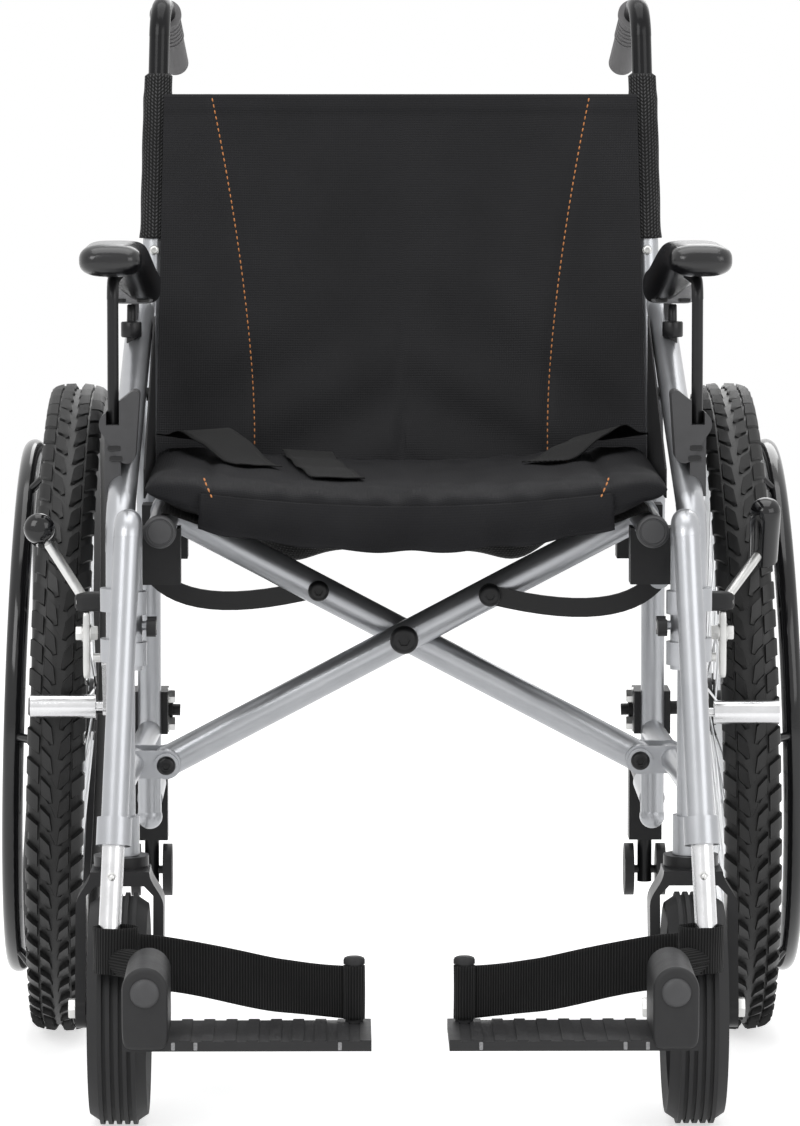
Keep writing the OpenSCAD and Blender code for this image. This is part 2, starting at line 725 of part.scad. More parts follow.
// Rim, hub and crossed spokes
hub_r = 15;
hub_l = 42;
flange_r = 27;
flange_t = 4;
flange_hole_r = 23;
hub_bore_r = 6.35;
spoke_r = 1.15;
spoke_cross = 60;
spoke_lay = 3.4;
rim_lay = 1.8;
rim_lip = 3;
rim_side_in = 5;
spoke_room = 0.3;
module rear_wheel() {
    flange_z = hub_l / 2 - flange_t / 2;
    rim_out_r = tyre_bead_r - rim_room;
    color("#2b2b2d")
        wheel_place() {
            rotate_extrude()
                polygon([
                    [rim_in_r, -rim_w / 4], [rim_in_r + rim_side_in, -rim_w / 2], [rim_out_r, -rim_w / 2],
                    [rim_out_r, rim_w / 2], [rim_in_r + rim_side_in, rim_w / 2], [rim_in_r, rim_w / 4]]);
            difference() {
                union() {
                    cylinder(h = hub_l, r = hub_r, center = true);
                    for (s = [-1, 1])
                        translate([0, 0, s * flange_z]) cylinder(h = flange_t, r = flange_r, center = true);
                }
                cylinder(h = hub_l + over, r = hub_bore_r + fit, center = true);
            }
            for (i = [0:spokes - 1]) {
                s = i % 2 == 0 ? 1 : -1;
                lay = floor(i / 2) % 2 == 0 ? 1 : -1;
                a = 360 * i / spokes;
                hub_a = a + lay * spoke_cross;
                z0 = s * flange_z + lay * (flange_t / 2 + spoke_r + spoke_room);
                hub_p = [flange_hole_r * cos(hub_a), flange_hole_r * sin(hub_a), z0];
                end_r = rim_in_r - spoke_room;
                rim_p = [end_r * cos(a), end_r * sin(a), s * rim_lay + lay * rim_lay / 2];
                rod(hub_p, rim_p, spoke_r);
            }
        }
}

// Handrim: a round tube ring on short stays bolted to the rim's side
handrim_out = 41;
stays = 6;
stay_r = 4;
stay_foot_r = 6;
stay_foot_t = 4;
stay_seat_share = 0.6;
stay_start_share = 0.5;
module handrim() {
    ring_r = (handrim_d - handrim_tube_d) / 2;
    seat_r = mix(rim_in_r, tyre_bead_r, stay_seat_share);
    module ring(r) {
        translate([0, 0, handrim_out]) rotate_extrude() translate([ring_r, 0]) circle(r = r);
    }
    color("#1d1d1f")
        wheel_place() {
            ring(handrim_tube_d / 2);
            difference() {
                for (i = [0:stays - 1])
                    rotate([0, 0, 360 * (i + stay_start_share) / stays]) {
                        translate([seat_r, 0, rim_w / 2 + fit]) cylinder(h = stay_foot_t, r = stay_foot_r);
                        rod([seat_r, 0, rim_w / 2 + stay_foot_t], [ring_r, 0, handrim_out], stay_r, seam_turn);
                    }
                ring(handrim_tube_d / 2 + fit);
            }
        }
}

// Axle clamp: black block on the rear post with the quick-release axle and its push button
clamp_w = 34;
clamp_h = 40;
clamp_rear = 18;
axle_out = 30;
axle_in = 96;
axle_nut_r = 10;
axle_nut_t = 6;
button_r = 5.5;
button_t = 7;
module axle_clamp() {
    inner = wheel_at - axle_dir * axle_in;
    outer = wheel_at + axle_dir * axle_out;
    block_y0 = rear_post_y + gap;
    block_y1 = axle_y + clamp_rear;
    mid_z = (wheel_at - axle_dir * (wheel_half_w - rear_half_w))[2];
    color("#1f1f21")
        union() {
            difference() {
                block(
                    [rear_half_w, (block_y0 + block_y1) / 2, mid_z],
                    [clamp_w, block_y1 - block_y0, clamp_h]);
                rod(rear_foot, back_bend, tube_r + fit);
            }
            rod(inner, outer, hub_bore_r);
            rod(outer, outer + axle_dir * button_t, axle_nut_r);
            rod(inner - axle_dir * button_t, inner, button_r);
            rod(inner, inner + axle_dir * axle_nut_t, axle_nut_r);
        }
}

// Castor: forged yoke on a stem in the front post, ribbed tyre on a moulded rim
castor_r = castor_d / 2;
fork_gap = 4;
fork_t = 9;
fork_crown_t = 12;
fork_crown_room = 5;
fork_crown_share = 0.3;
fork_crown_half_l = 25;
fork_arch = 8;
fork_neck = 25.5;
fork_shoulder = 29;
fork_steps = 8;
fork_disc_r = 24;
fork_blade_w = 34;
castor_axle_r = 6;
castor_axle = [front_half_w, front_post_y - castor_trail, castor_r];
fork_in = castor_w / 2 + fork_gap;
module castor_fork() {
    crown_z = castor_d + fork_crown_room;
    top_z = crown_z + fork_crown_t;
    low_z = castor_r - fork_blade_w;
    crown_y = front_post_y - castor_trail * fork_crown_share;
    out = fork_in + fork_t;
    function shoulder(t) = [mix(out, fork_neck, (1 - cos(180 * t)) / 2), top_z - fork_shoulder * (1 - t)];
    right = concat(
        [[fork_in - fork_arch, crown_z], [fork_in, crown_z - fork_arch], [fork_in, low_z], [out, low_z]],
        [for (i = [0:fork_steps]) shoulder(i / fork_steps)]);
    left = [for (i = [len(right) - 1:-1:0]) [-right[i][0], right[i][1]]];
    color("#1c1c1e")
        union() {
            intersection() {
                translate([front_half_w, front_post_y + castor_r, 0])
                    rotate([90, 0, 0])
                        linear_extrude(castor_d + castor_r) polygon(concat(right, left));
                translate([front_half_w - out - over, 0, 0])
                    rotate([90, 0, 90])
                        linear_extrude((out + over) * 2) {
                            polygon([
                                [crown_y - fork_crown_half_l, top_z + over],
                                [crown_y + fork_crown_half_l, top_z + over],
                                [castor_axle[1] + fork_blade_w / 2, castor_r],
                                [castor_axle[1] - fork_blade_w / 2, castor_r]]);
                            translate([castor_axle[1], castor_r]) circle(r = fork_blade_w / 2);
                        }
            }
            translate([front_half_w, front_post_y, crown_z + fork_crown_t / 2]) {
                cylinder(h = front_foot_z - crown_z - fork_crown_t / 2 - gap, r = fork_disc_r);
                cylinder(h = stem_top_z - crown_z - fork_crown_t / 2 - over, r = stem_r);
            }
            bar_x(castor_axle, castor_axle_r, out * 2 - over);
        }
}
castor_ribs = 5;
castor_rib_h = 3;
castor_tyre_t = 24;
castor_shoulder = 9;
module castor_place() {
    translate(castor_axle) rotate([0, 90, 0]) children();
}
module castor_tyre() {
    bead_r = castor_r - castor_tyre_t;
    crown_w = castor_w - castor_shoulder * 2;
    pitch = crown_w / (castor_ribs * 2 - 1);
    color("#2c2c2d")
        castor_place()
            rotate_extrude()
                union() {
                    polygon([
                        [bead_r, -castor_w / 2 + castor_shoulder / 2], [castor_r - castor_shoulder, -castor_w / 2],
                        [castor_r - castor_rib_h, -crown_w / 2], [castor_r - castor_rib_h, crown_w / 2],
                        [castor_r - castor_shoulder, castor_w / 2], [bead_r, castor_w / 2 - castor_shoulder / 2]]);
                    for (i = [0:castor_ribs - 1])
                        translate([castor_r - castor_rib_h * 2, -crown_w / 2 + pitch * 2 * i])
                            square([castor_rib_h * 2, pitch]);
                }
}
castor_hub_r = 19;
castor_web_t = 8;
castor_rim_t = 8;
castor_holes = 6;
castor_hole_r = 12;
module castor_rim() {
    out_r = castor_r - castor_tyre_t - rim_room;
    hole_at = (castor_hub_r + out_r - castor_rim_t) / 2;
    color("#343436")
        castor_place()
            difference() {
                union() {
                    difference() {
                        cylinder(h = castor_w - castor_shoulder * 2, r = out_r, center = true);
                        cylinder(h = castor_w, r = out_r - castor_rim_t, center = true);
                    }
                    cylinder(h = castor_web_t, r = out_r - castor_rim_t / 2, center = true);
                    cylinder(h = castor_w, r = castor_hub_r, center = true);
                }
                cylinder(h = castor_w + over, r = castor_axle_r + fit, center = true);
                for (i = [0:castor_holes - 1])
                    rotate([0, 0, 360 * i / castor_holes])
                        translate([hole_at, 0, 0]) cylinder(h = castor_w, r = castor_hole_r, center = true);
            }
}

// Hanger: silver tube domed over at the top, on two collars that turn on the front post
hanger_r = 11.5;
hanger_bend_r = 15;
hanger_lead = 29;
hanger_dome = 32;
hanger_in = 9;
hanger_root_z = 392;
hanger_splay = 2;
hanger_reach = 125;
hanger_end_z = 252;
hanger_end = [front_half_w + hanger_splay, front_post_y - hanger_reach, hanger_end_z];
hanger_collar_wall = 5;
hanger_collar_r = post_r + hanger_collar_wall;
hanger_collar_h = 20;
hanger_collar_zs = [396, 440];
hanger_top = hanger_top_z - hanger_r;
hanger_pts = [
    [front_half_w - hanger_in, front_post_y - hanger_lead, hanger_root_z],
    [front_half_w - hanger_in, front_post_y - hanger_lead, hanger_top],
    [front_half_w - hanger_in, front_post_y - hanger_lead - hanger_dome, hanger_top],
    hanger_end
];
cuff_wall = 3.5;
hanger_cuff_r = hanger_r + cuff_wall;
hanger_cuff_l = 24;
module hanger() {
    color("gainsboro")
        difference() {
            union() {
                bent_tube(hanger_pts, hanger_r, hanger_bend_r);
                rod(hanger_end - leg_dir * hanger_cuff_l, hanger_end, hanger_cuff_r);
                rod(
                    [latch_x - latch_t / 2, hanger_pts[0][1], latch_z],
                    [hanger_pts[0][0], hanger_pts[0][1], latch_z], latch_pin_r);
                for (z = hanger_collar_zs) {
                    translate([front_half_w, front_post_y, z]) cylinder(h = hanger_collar_h, r = hanger_collar_r);
                    translate([hanger_pts[0][0], hanger_pts[0][1], z])
                        cylinder(h = hanger_collar_h, r = hanger_cuff_r);
                }
            }
            translate([front_half_w, front_post_y, hanger_root_z - over])
                cylinder(h = hanger_top, r = post_r + fit);
        }
}

// Hanger latch: a thumb lever beside the hanger that frees it to swing
latch_t = 8;
latch_l = 46;
latch_h = 16;
latch_z = 430;
latch_pin_r = 4;
latch_blade_share = 0.7;
latch_tip_share = 0.45;
latch_x = hanger_pts[0][0] - hanger_cuff_r - gap - latch_t / 2;
module hanger_latch() {
    y = hanger_pts[0][1];
    color("#202022")
        difference() {
            union() {
                bar_x([latch_x, y, latch_z], latch_h / 2, latch_t);
                block([latch_x, y - latch_l / 4, latch_z], [latch_t, latch_l / 2, latch_h * latch_blade_share]);
                bar_x([latch_x, y - latch_l / 2, latch_z], latch_h * latch_tip_share, latch_t);
            }
            bar_x([latch_x, y, latch_z], latch_pin_r + fit, latch_t + over);
        }
}

// Leg extension: bright tube out of the hanger, cranked in to the footplate's spindle
ext_r = 9.5;
ext_bend_r = 22;
spindle_in = 30;
spindle_x = front_half_w - spindle_in;
spindle_z = 158;
spindle_start_y = -405;
spindle_short = 4;
ext_l = 96;
leg_dir = unit(hanger_end - hanger_pts[2]);
ext_corner = hanger_end + leg_dir * ext_l;
module leg_extension() {
    color("#c9cacc")
        bent_tube([
            hanger_end + leg_dir * fit, ext_corner, [spindle_x, spindle_start_y, spindle_z],
            [spindle_x, plate_front_y + spindle_short, spindle_z]], ext_r, ext_bend_r);
}

// Footplate: extruded profile with a tubular hinge housing, ribbed top and a heel rod
housing_r = 18.5;
plate_t = 8;
plate_rib_h = 1.2;
plate_ribs = 9;
wall_t = 9;
heel_rod_r = 7.5;
heel_rod_h = 56;
heel_rod_x = 46;
heel_rod_in = 13;
plate_rear_y = plate_front_y + plate_l;
module footplate() {
    outer = spindle_x + housing_r;
    pitch = (spindle_x - housing_r - plate_inner) / plate_ribs;
    color("#202022")
        union() {
            translate([0, plate_rear_y, 0])
                rotate([90, 0, 0])
                    linear_extrude(plate_l)
                        difference() {
                            union() {
                                translate([spindle_x, spindle_z]) circle(r = housing_r);
                                translate([plate_inner, plate_top_z - plate_t])
                                    square([outer - plate_inner, plate_t]);
                                translate([outer - wall_t, plate_top_z - plate_t])
                                    square([wall_t, spindle_z - plate_top_z + plate_t]);
                                translate([spindle_x - housing_r, plate_top_z - plate_t])
                                    square([wall_t, spindle_z - plate_top_z + plate_t]);
                                for (i = [0:plate_ribs - 1])
                                    translate([plate_inner + pitch * i, plate_top_z])
                                        square([pitch / 2, plate_rib_h]);
                            }
                            translate([spindle_x, spindle_z]) circle(r = ext_r + fit);
                        }
            translate([heel_rod_x, plate_rear_y - heel_rod_in, plate_top_z - plate_t / 2])
                cylinder(h = heel_rod_h, r = heel_rod_r);
        }
}

// Heel strap: wide ribbed elastic from the leg extension to the heel rod, sagging to the rear
strap_h = 45;
strap_t = 2.4;
strap_belly = 16;
strap_steps = 14;
strap_low_z = 119;
strap_at_share = 0.5;
module heel_strap() {
    corner = [ext_corner[0], ext_corner[1]];
    crank_end = [spindle_x, spindle_start_y];
    crank = unit(crank_end - corner);
    a = mix(corner, crank_end, strap_at_share) + [crank[1], -crank[0]] * (ext_r + gap + strap_t / 2);
    b = [heel_rod_x + heel_rod_r + gap + strap_t / 2, plate_rear_y - heel_rod_in];
    along = unit(b - a);
    side = [along[1], -along[0]];
    function at(t) = mix(a, b, t) + side * strap_belly * sin(180 * t);
    path = [for (i = [0:strap_steps]) at(i / strap_steps)];
    color("#1a1a1c")
        translate([0, 0, strap_low_z])
            linear_extrude(strap_h)
                polygon(concat(
                    [for (p = path) p + side * strap_t / 2],
                    [for (i = [strap_steps:-1:0]) path[i] - side * strap_t / 2]));
}

// Wheel lock: plate clamped to the upper rail, thumb lever and a roller shoe before the tyre
brake_y = -118;
brake_plate_out = 16;
brake_plate_x = side_at(brake_y, upper_rail_z)[0] + brake_plate_out;
brake_plate_t = 4;
brake_plate_l = 46;
brake_low_z = 332;
lever_z = 438;
shoe_pivot_z = 388;
brake_pin_r = 4;
brake_clamp_l = 40;
brake_clamp_wall = 6;
lever_t = 5;
brake_pin_l = brake_plate_t + lever_t * 2 + gap * 2;
lever_w = 16;
module brake_mount() {
    seat = side_at(brake_y, upper_rail_z);
    top_z = upper_rail_z + tube_r + brake_clamp_wall;
    x0 = seat[0] - tube_r - brake_clamp_wall;
    x1 = brake_plate_x + brake_plate_t / 2;
    low = upper_rail_z - tube_r - brake_clamp_wall;
    color("silver")
        difference() {
            union() {
                block([(x0 + x1) / 2, brake_y, (top_z + low) / 2], [x1 - x0, brake_clamp_l, top_z - low]);
                block(
                    [brake_plate_x, brake_y, (upper_rail_z + brake_low_z) / 2],
                    [brake_plate_t, brake_plate_l, upper_rail_z - brake_low_z]);
                for (z = [lever_z, shoe_pivot_z])
                    rod([brake_plate_x, brake_y, z], [brake_plate_x + brake_pin_l, brake_y, z], brake_pin_r);
            }
            rod(side_at(front_post_y, upper_rail_z), side_at(rear_post_y, upper_rail_z), side_rail_r + fit);
        }
}
lever_x = brake_plate_x + brake_plate_t / 2 + gap + lever_t / 2;
lever_hub_l = 27;
lever_rod_r = 4.5;
lever_rise = 44;
lever_back = 44;
grip_lean = 30;
lever_reach = 55;
grip_x = lever_x + lever_reach;
lever_grip_r = 12.5;
lever_grip_l = 48;
lever_lean = 50;
module brake_lever(lean) {
    hub_x = lever_x - lever_t / 2;
    grip_at = [grip_x, lever_back, lever_rise];
    color("#232325")
        translate([0, brake_y, lever_z])
            rotate([lean, 0, 0])
                difference() {
                    union() {
                        bar_x([hub_x + lever_hub_l / 2, 0, 0], lever_w / 2, lever_hub_l);
                        rod([hub_x + lever_hub_l - lever_w / 2, 0, 0], grip_at, lever_rod_r);
                        translate(grip_at)
                            rotate([grip_lean, 0, 0])
                                translate([0, 0, -lever_grip_r]) {
                                    cylinder(h = lever_grip_l, r = lever_grip_r);
                                    translate([0, 0, lever_grip_l]) sphere(r = lever_grip_r - fit * 2);
                                }
                    }
                    rod([brake_plate_x, 0, 0], [brake_plate_x + brake_pin_l + gap, 0, 0], brake_pin_r + fit);
                }
}
shoe_r = 10.5;
arm_thin = 0.6;
shoe_l = 58;
shoe_in = 7;
shoe_x = wheel_half_w - shoe_in;
shoe_drop = 46;
shoe_lock_gap = 1.2;
shoe_turn = 15;
function tyre_front(z) = axle_y - sqrt(pow(tyre_r, 2) - pow(z - axle_z, 2));
shoe_z = shoe_pivot_z - shoe_drop;
module brake_shoe(back_turn) {
    pin = [lever_x, brake_y, shoe_pivot_z];
    reach = [0, tyre_front(shoe_z) - shoe_r - shoe_lock_gap - brake_y, -shoe_drop];
    color("#b9babc")
        translate(pin)
            rotate([-back_turn, 0, 0])
                difference() {
                    union() {
                        bar_x([0, 0, 0], lever_w / 2, lever_t);
                        translate(reach / 2)
                            rotate([atan2(reach[2], reach[1]), 0, 0])
                                cube([lever_t - arm_thin, norm(reach), lever_w * bar_waist_share], center = true);
                        bar_x(reach, lever_w / 2, lever_t);
                        rod(reach, reach + [shoe_x - lever_x, 0, 0], lever_w / 4);
                        bar_x(reach + [shoe_x - lever_x, 0, 0], shoe_r, shoe_l);
                    }
                    bar_x([0, 0, 0], brake_pin_r + fit, lever_t + over);
                }
}

// Anti-tipper: tube out of the rear stub, elbow clamp, drop tube and twin small wheels
tip_y = 430;
tip_r = 9.5;
tip_drop_r = 7;
tip_wheel_r = 25.5;
tip_wheel_w = 9;
tip_wheel_z = 119;
tip_wheel_off = 15.5;
tip_elbow_w = 32;
tip_elbow_low_z = 150;
tip_axle_r = 4;
tip_foot = 6;
module anti_tipper() {
    top_z = stub_z + tip_r + tip_foot;
    drop = [rear_half_w + tip_foot, tip_y, tip_wheel_z - tip_foot * 2];
    color("#2a2a2c")
        union() {
            rod([rear_half_w, rear_post_y + stub_l + fit, stub_z], [rear_half_w, tip_y, stub_z], tip_r);
            block(
                [drop[0], tip_y, (top_z + tip_elbow_low_z) / 2],
                [tip_elbow_w, tip_elbow_w, top_z - tip_elbow_low_z]);
            rod(drop, [drop[0], tip_y, tip_elbow_low_z], tip_drop_r);
            bar_x([drop[0], tip_y, tip_wheel_z], tip_axle_r, tip_wheel_off * 2 + tip_wheel_w);
        }
}
module anti_tip_wheels() {
    color("#1a1a1c")
        for (s = [-1, 1])
            translate([rear_half_w + tip_foot + s * tip_wheel_off, tip_y, tip_wheel_z])
                rotate([0, 90, 0])
                    difference() {
                        cylinder(h = tip_wheel_w, r = tip_wheel_r, center = true);
                        cylinder(h = tip_wheel_w + over, r = tip_axle_r + fit, center = true);
                    }
}

module left() { mirror([1, 0, 0]) children(); }

left_frame();
right_frame();
left() push_handle();  // push_handle_left
push_handle();  // push_handle_right
left() push_grip();  // push_grip_left
push_grip();  // push_grip_right
left() rail_cradles();  // rail_cradles_left
rail_cradles();  // rail_cradles_right
cross_tube_a();
cross_tube_b();
cross_bolt();
link_left();
link_right();
seat_sling();
seat_cushion();
back_upholstery();
left() cane_sleeve();  // cane_sleeve_left
cane_sleeve();  // cane_sleeve_right
left() side_panel();  // side_panel_left
side_panel();  // side_panel_right
left() armrest_frame();  // armrest_frame_left
armrest_frame();  // armrest_frame_right
left() armrest_pad();  // armrest_pad_left
armrest_pad();  // armrest_pad_right
left() armrest_socket();  // armrest_socket_left
armrest_socket();  // armrest_socket_right
left() rear_tyre();  // rear_tyre_left
rear_tyre();  // rear_tyre_right
left() rear_wheel();  // rear_wheel_left
rear_wheel();  // rear_wheel_right
left() handrim();  // handrim_left
handrim();  // handrim_right
left() axle_clamp();  // axle_clamp_left
axle_clamp();  // axle_clamp_right
left() castor_fork();  // castor_fork_left
castor_fork();  // castor_fork_right
left() castor_tyre();  // castor_tyre_left
castor_tyre();  // castor_tyre_right
left() castor_rim();  // castor_rim_left
castor_rim();  // castor_rim_right
left() hanger();  // hanger_left
hanger();  // hanger_right
left() hanger_latch();  // hanger_latch_left
hanger_latch();  // hanger_latch_right
left() leg_extension();  // leg_extension_left
leg_extension();  // leg_extension_right
left() footplate();  // footplate_left
footplate();  // footplate_right
left() heel_strap();  // heel_strap_left
heel_strap();  // heel_strap_right
left() brake_mount();  // brake_mount_left
brake_mount();  // brake_mount_right
left() brake_lever(lever_lean);  // brake_lever_left
brake_lever(0);  // brake_lever_right
left() brake_shoe(0);  // brake_shoe_left
brake_shoe(shoe_turn);  // brake_shoe_right
left() anti_tipper();  // anti_tipper_left
anti_tipper();  // anti_tipper_right
left() anti_tip_wheels();  // anti_tip_wheels_left
anti_tip_wheels();  // anti_tip_wheels_right
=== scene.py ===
"""Folding all terrain wheelchair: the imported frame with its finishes, tyres, upholstery and fittings."""

import bmesh
import bpy
import numpy as np
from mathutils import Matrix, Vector


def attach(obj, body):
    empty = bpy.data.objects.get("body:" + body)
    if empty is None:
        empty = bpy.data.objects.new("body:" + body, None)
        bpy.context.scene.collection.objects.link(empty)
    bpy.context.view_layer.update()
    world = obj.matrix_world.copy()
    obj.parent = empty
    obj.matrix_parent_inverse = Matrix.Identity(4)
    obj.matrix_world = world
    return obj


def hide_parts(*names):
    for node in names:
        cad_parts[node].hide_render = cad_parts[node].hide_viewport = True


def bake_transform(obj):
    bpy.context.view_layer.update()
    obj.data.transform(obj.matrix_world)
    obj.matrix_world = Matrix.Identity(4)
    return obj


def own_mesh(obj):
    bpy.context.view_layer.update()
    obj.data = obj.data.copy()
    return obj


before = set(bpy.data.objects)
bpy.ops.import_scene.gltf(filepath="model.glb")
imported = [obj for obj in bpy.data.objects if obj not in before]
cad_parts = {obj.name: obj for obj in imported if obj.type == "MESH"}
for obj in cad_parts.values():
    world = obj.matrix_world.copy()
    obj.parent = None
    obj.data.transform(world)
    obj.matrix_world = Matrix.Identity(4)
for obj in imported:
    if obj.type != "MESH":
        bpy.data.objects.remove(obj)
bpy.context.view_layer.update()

# Camera, floor and light
# The chair is seen from the front, a little from above, through a long lens.
# It stands on a pale floor in an even white studio.
camera_at = Vector((-0.06, -5.28, 0.95))
camera_aim = Vector((-0.003, 0.0, 0.461))
camera = bpy.data.objects.new("camera", bpy.data.cameras.new("camera"))
camera.data.lens = 187.4
camera.data.sensor_width = 36.0
camera.location = camera_at
camera.rotation_euler = (camera_aim - camera_at).to_track_quat("-Z", "Y").to_euler()
bpy.context.collection.objects.link(camera)
scene = bpy.context.scene
scene.camera = camera
scene.view_settings.view_transform = "Standard"


def seen_rays(nodes, links):
    """One for rays from the camera, or by way of a mirror or glass; nought for the others."""
    path = nodes.new("ShaderNodeLightPath")
    first = nodes.new("ShaderNodeMath")
    first.operation = "MAXIMUM"
    links.new(path.outputs["Is Camera Ray"], first.inputs[0])
    links.new(path.outputs["Is Glossy Ray"], first.inputs[1])
    last = nodes.new("ShaderNodeMath")
    last.operation = "MAXIMUM"
    links.new(first.outputs[0], last.inputs[0])
    links.new(path.outputs["Is Transmission Ray"], last.inputs[1])
    return last.outputs[0]


world = bpy.data.worlds.new("studio")
scene.world = world
world.use_nodes = True
nodes, links = world.node_tree.nodes, world.node_tree.links
dim = nodes["Background"]
dim.inputs["Color"].default_value = (1.0, 1.0, 1.0, 1)
dim.inputs["Strength"].default_value = 0.38
white = nodes.new("ShaderNodeBackground")
white.inputs["Color"].default_value = (1, 1, 1, 1)
white.inputs["Strength"].default_value = 1.0
either = nodes.new("ShaderNodeMixShader")
links.new(seen_rays(nodes, links), either.inputs[0])
links.new(dim.outputs[0], either.inputs[1])
links.new(white.outputs[0], either.inputs[2])
links.new(either.outputs[0], nodes["World Output"].inputs[0])

floor_half = 6.0
floor_corners = [(floor_half * x, floor_half * y, 0) for x, y in ((-1, -1), (1, -1), (1, 1), (-1, 1))]
floor_mesh = bpy.data.meshes.new("floor")
floor_mesh.from_pydata(floor_corners, [], [(0, 1, 2, 3)])
floor = bpy.data.objects.new("floor", floor_mesh)
bpy.context.collection.objects.link(floor)
pale = bpy.data.materials.new("pale_floor")
pale.use_nodes = True
nodes, links = pale.node_tree.nodes, pale.node_tree.links
nodes["Principled BSDF"].inputs["Base Color"].default_value = (0.86, 0.86, 0.86, 1)
nodes["Principled BSDF"].inputs["Roughness"].default_value = 0.9
glow = nodes.new("ShaderNodeEmission")
glow.inputs["Strength"].default_value = 0.62
lit = nodes.new("ShaderNodeAddShader")
links.new(nodes["Principled BSDF"].outputs[0], lit.inputs[0])
links.new(glow.outputs[0], lit.inputs[1])
either = nodes.new("ShaderNodeMixShader")
links.new(seen_rays(nodes, links), either.inputs[0])
links.new(nodes["Principled BSDF"].outputs[0], either.inputs[1])
links.new(lit.outputs[0], either.inputs[2])
links.new(either.outputs[0], nodes["Material Output"].inputs[0])
floor_mesh.materials.append(pale)

soft_boxes = {
    "key": ((-2.2, -3.2, 3.0), 2.2, 60.0),
    "fill": ((2.6, -2.8, 2.0), 2.4, 36.0),
    "top": ((0.0, 0.3, 3.4), 2.6, 40.0),
    "back": ((0.6, 3.2, 2.4), 2.0, 26.0),
}
for name, (place, size, power) in soft_boxes.items():
    lamp = bpy.data.objects.new(name, bpy.data.lights.new(name, "AREA"))
    lamp.data.size = size
    lamp.data.energy = power
    lamp.location = place
    lamp.rotation_euler = (Vector((0, 0, 0.5)) - Vector(place)).to_track_quat("-Z", "Y").to_euler()
    bpy.context.collection.objects.link(lamp)

# Side frames, folding cross and leg hangers
# Bent and welded aluminium tube, powder coated in a silver that carries fine metal flake.
# The coat is even, with a faint orange-peel surface; the leg extensions are bare bright alloy.
SIDES = {"left": -1, "right": 1}


def finish(name, dark, light, patch, rough, grain, bump, metallic=0.0, coat=0.0, shine=0.5):
    """Procedural finish on Object coordinates: slow noise mixes two colours and two roughnesses, and
    fine noise of the given grain raises the surface by bump metres."""
    made = bpy.data.materials.new(name)
    made.use_nodes = True
    nodes, links = made.node_tree.nodes, made.node_tree.links
    shader = nodes["Principled BSDF"]
    shader.inputs["Metallic"].default_value = metallic
    shader.inputs["Coat Weight"].default_value = coat
    shader.inputs["Specular IOR Level"].default_value = shine
    place = nodes.new("ShaderNodeTexCoord")
    slow = nodes.new("ShaderNodeTexNoise")
    slow.inputs["Scale"].default_value = patch
    slow.inputs["Detail"].default_value = 4.0
    links.new(place.outputs["Object"], slow.inputs["Vector"])
    colour = nodes.new("ShaderNodeMix")
    colour.data_type = "RGBA"
    colour.inputs["A"].default_value = (*dark, 1)
    colour.inputs["B"].default_value = (*light, 1)
    links.new(slow.outputs["Fac"], colour.inputs["Factor"])
    links.new(colour.outputs["Result"], shader.inputs["Base Color"])
    dull = nodes.new("ShaderNodeMapRange")
    dull.inputs["To Min"].default_value = rough[0]
    dull.inputs["To Max"].default_value = rough[1]
    links.new(slow.outputs["Fac"], dull.inputs["Value"])
    links.new(dull.outputs["Result"], shader.inputs["Roughness"])
    fine = nodes.new("ShaderNodeTexNoise")
    fine.inputs["Scale"].default_value = grain
    fine.inputs["Detail"].default_value = 3.0
    links.new(place.outputs["Object"], fine.inputs["Vector"])
    relief = nodes.new("ShaderNodeBump")
    relief.inputs["Strength"].default_value = 1.0
    relief.inputs["Distance"].default_value = bump
    links.new(fine.outputs["Fac"], relief.inputs["Height"])
    links.new(relief.outputs["Normal"], shader.inputs["Normal"])
    return made


def dress(material, *names):
    """The CAD nodes of these names, or of these names on both sides, take the material."""
    for name in names:
        for node in [name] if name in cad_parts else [f"{name}_{side}" for side in SIDES]:
            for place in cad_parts[node].material_slots:
                place.material = material


silver_paint = finish("silver_paint", (0.40, 0.41, 0.43), (0.50, 0.51, 0.53), 38.0, (0.28, 0.38), 900.0,
                      0.00006, metallic=0.75, coat=0.15)
dress(silver_paint, "left_frame", "right_frame", "cross_tube_a", "cross_tube_b", "hanger")

bright_alloy = finish("bright_alloy", (0.62, 0.62, 0.63), (0.78, 0.78, 0.79), 60.0, (0.16, 0.32),
                      1400.0, 0.00004, metallic=1.0)
dress(bright_alloy, "leg_extension")

# Black metal parts
# Links, armrest rods, castor forks and anti-tippers are satin black, handrims and push handles glossy.
# Clamps, cradles, panels, footplates and latches are filled nylon with a fine grain; the grips are rubber.
satin_black = finish("satin_black", (0.010, 0.010, 0.011), (0.019, 0.019, 0.020), 45.0, (0.26, 0.40),
                     800.0, 0.00005, shine=0.3)
dress(satin_black, "link_left", "link_right", "armrest_frame", "castor_fork", "anti_tipper")
moulded_black = finish("moulded_black", (0.014, 0.014, 0.015), (0.028, 0.028, 0.029), 60.0, (0.42, 0.6),
                       1500.0, 0.00012, shine=0.32)
dress(moulded_black, "cross_bolt", "rail_cradles", "side_panel", "axle_clamp", "castor_rim",
      "hanger_latch", "footplate", "anti_tip_wheels")
gloss_black = finish("gloss_black", (0.006, 0.006, 0.007), (0.012, 0.012, 0.013), 30.0, (0.08, 0.16),
                     400.0, 0.00003, shine=0.45)
dress(gloss_black, "handrim")
handle_black = finish("handle_black", (0.006, 0.006, 0.007), (0.011, 0.011, 0.012), 30.0, (0.14, 0.24),
                      400.0, 0.00003, shine=0.2)
dress(handle_black, "push_handle")
cap_grey = finish("cap_grey", (0.040, 0.040, 0.042), (0.070, 0.070, 0.073), 80.0, (0.45, 0.6), 1200.0,
                  0.0001)
dress(cap_grey, "armrest_socket")
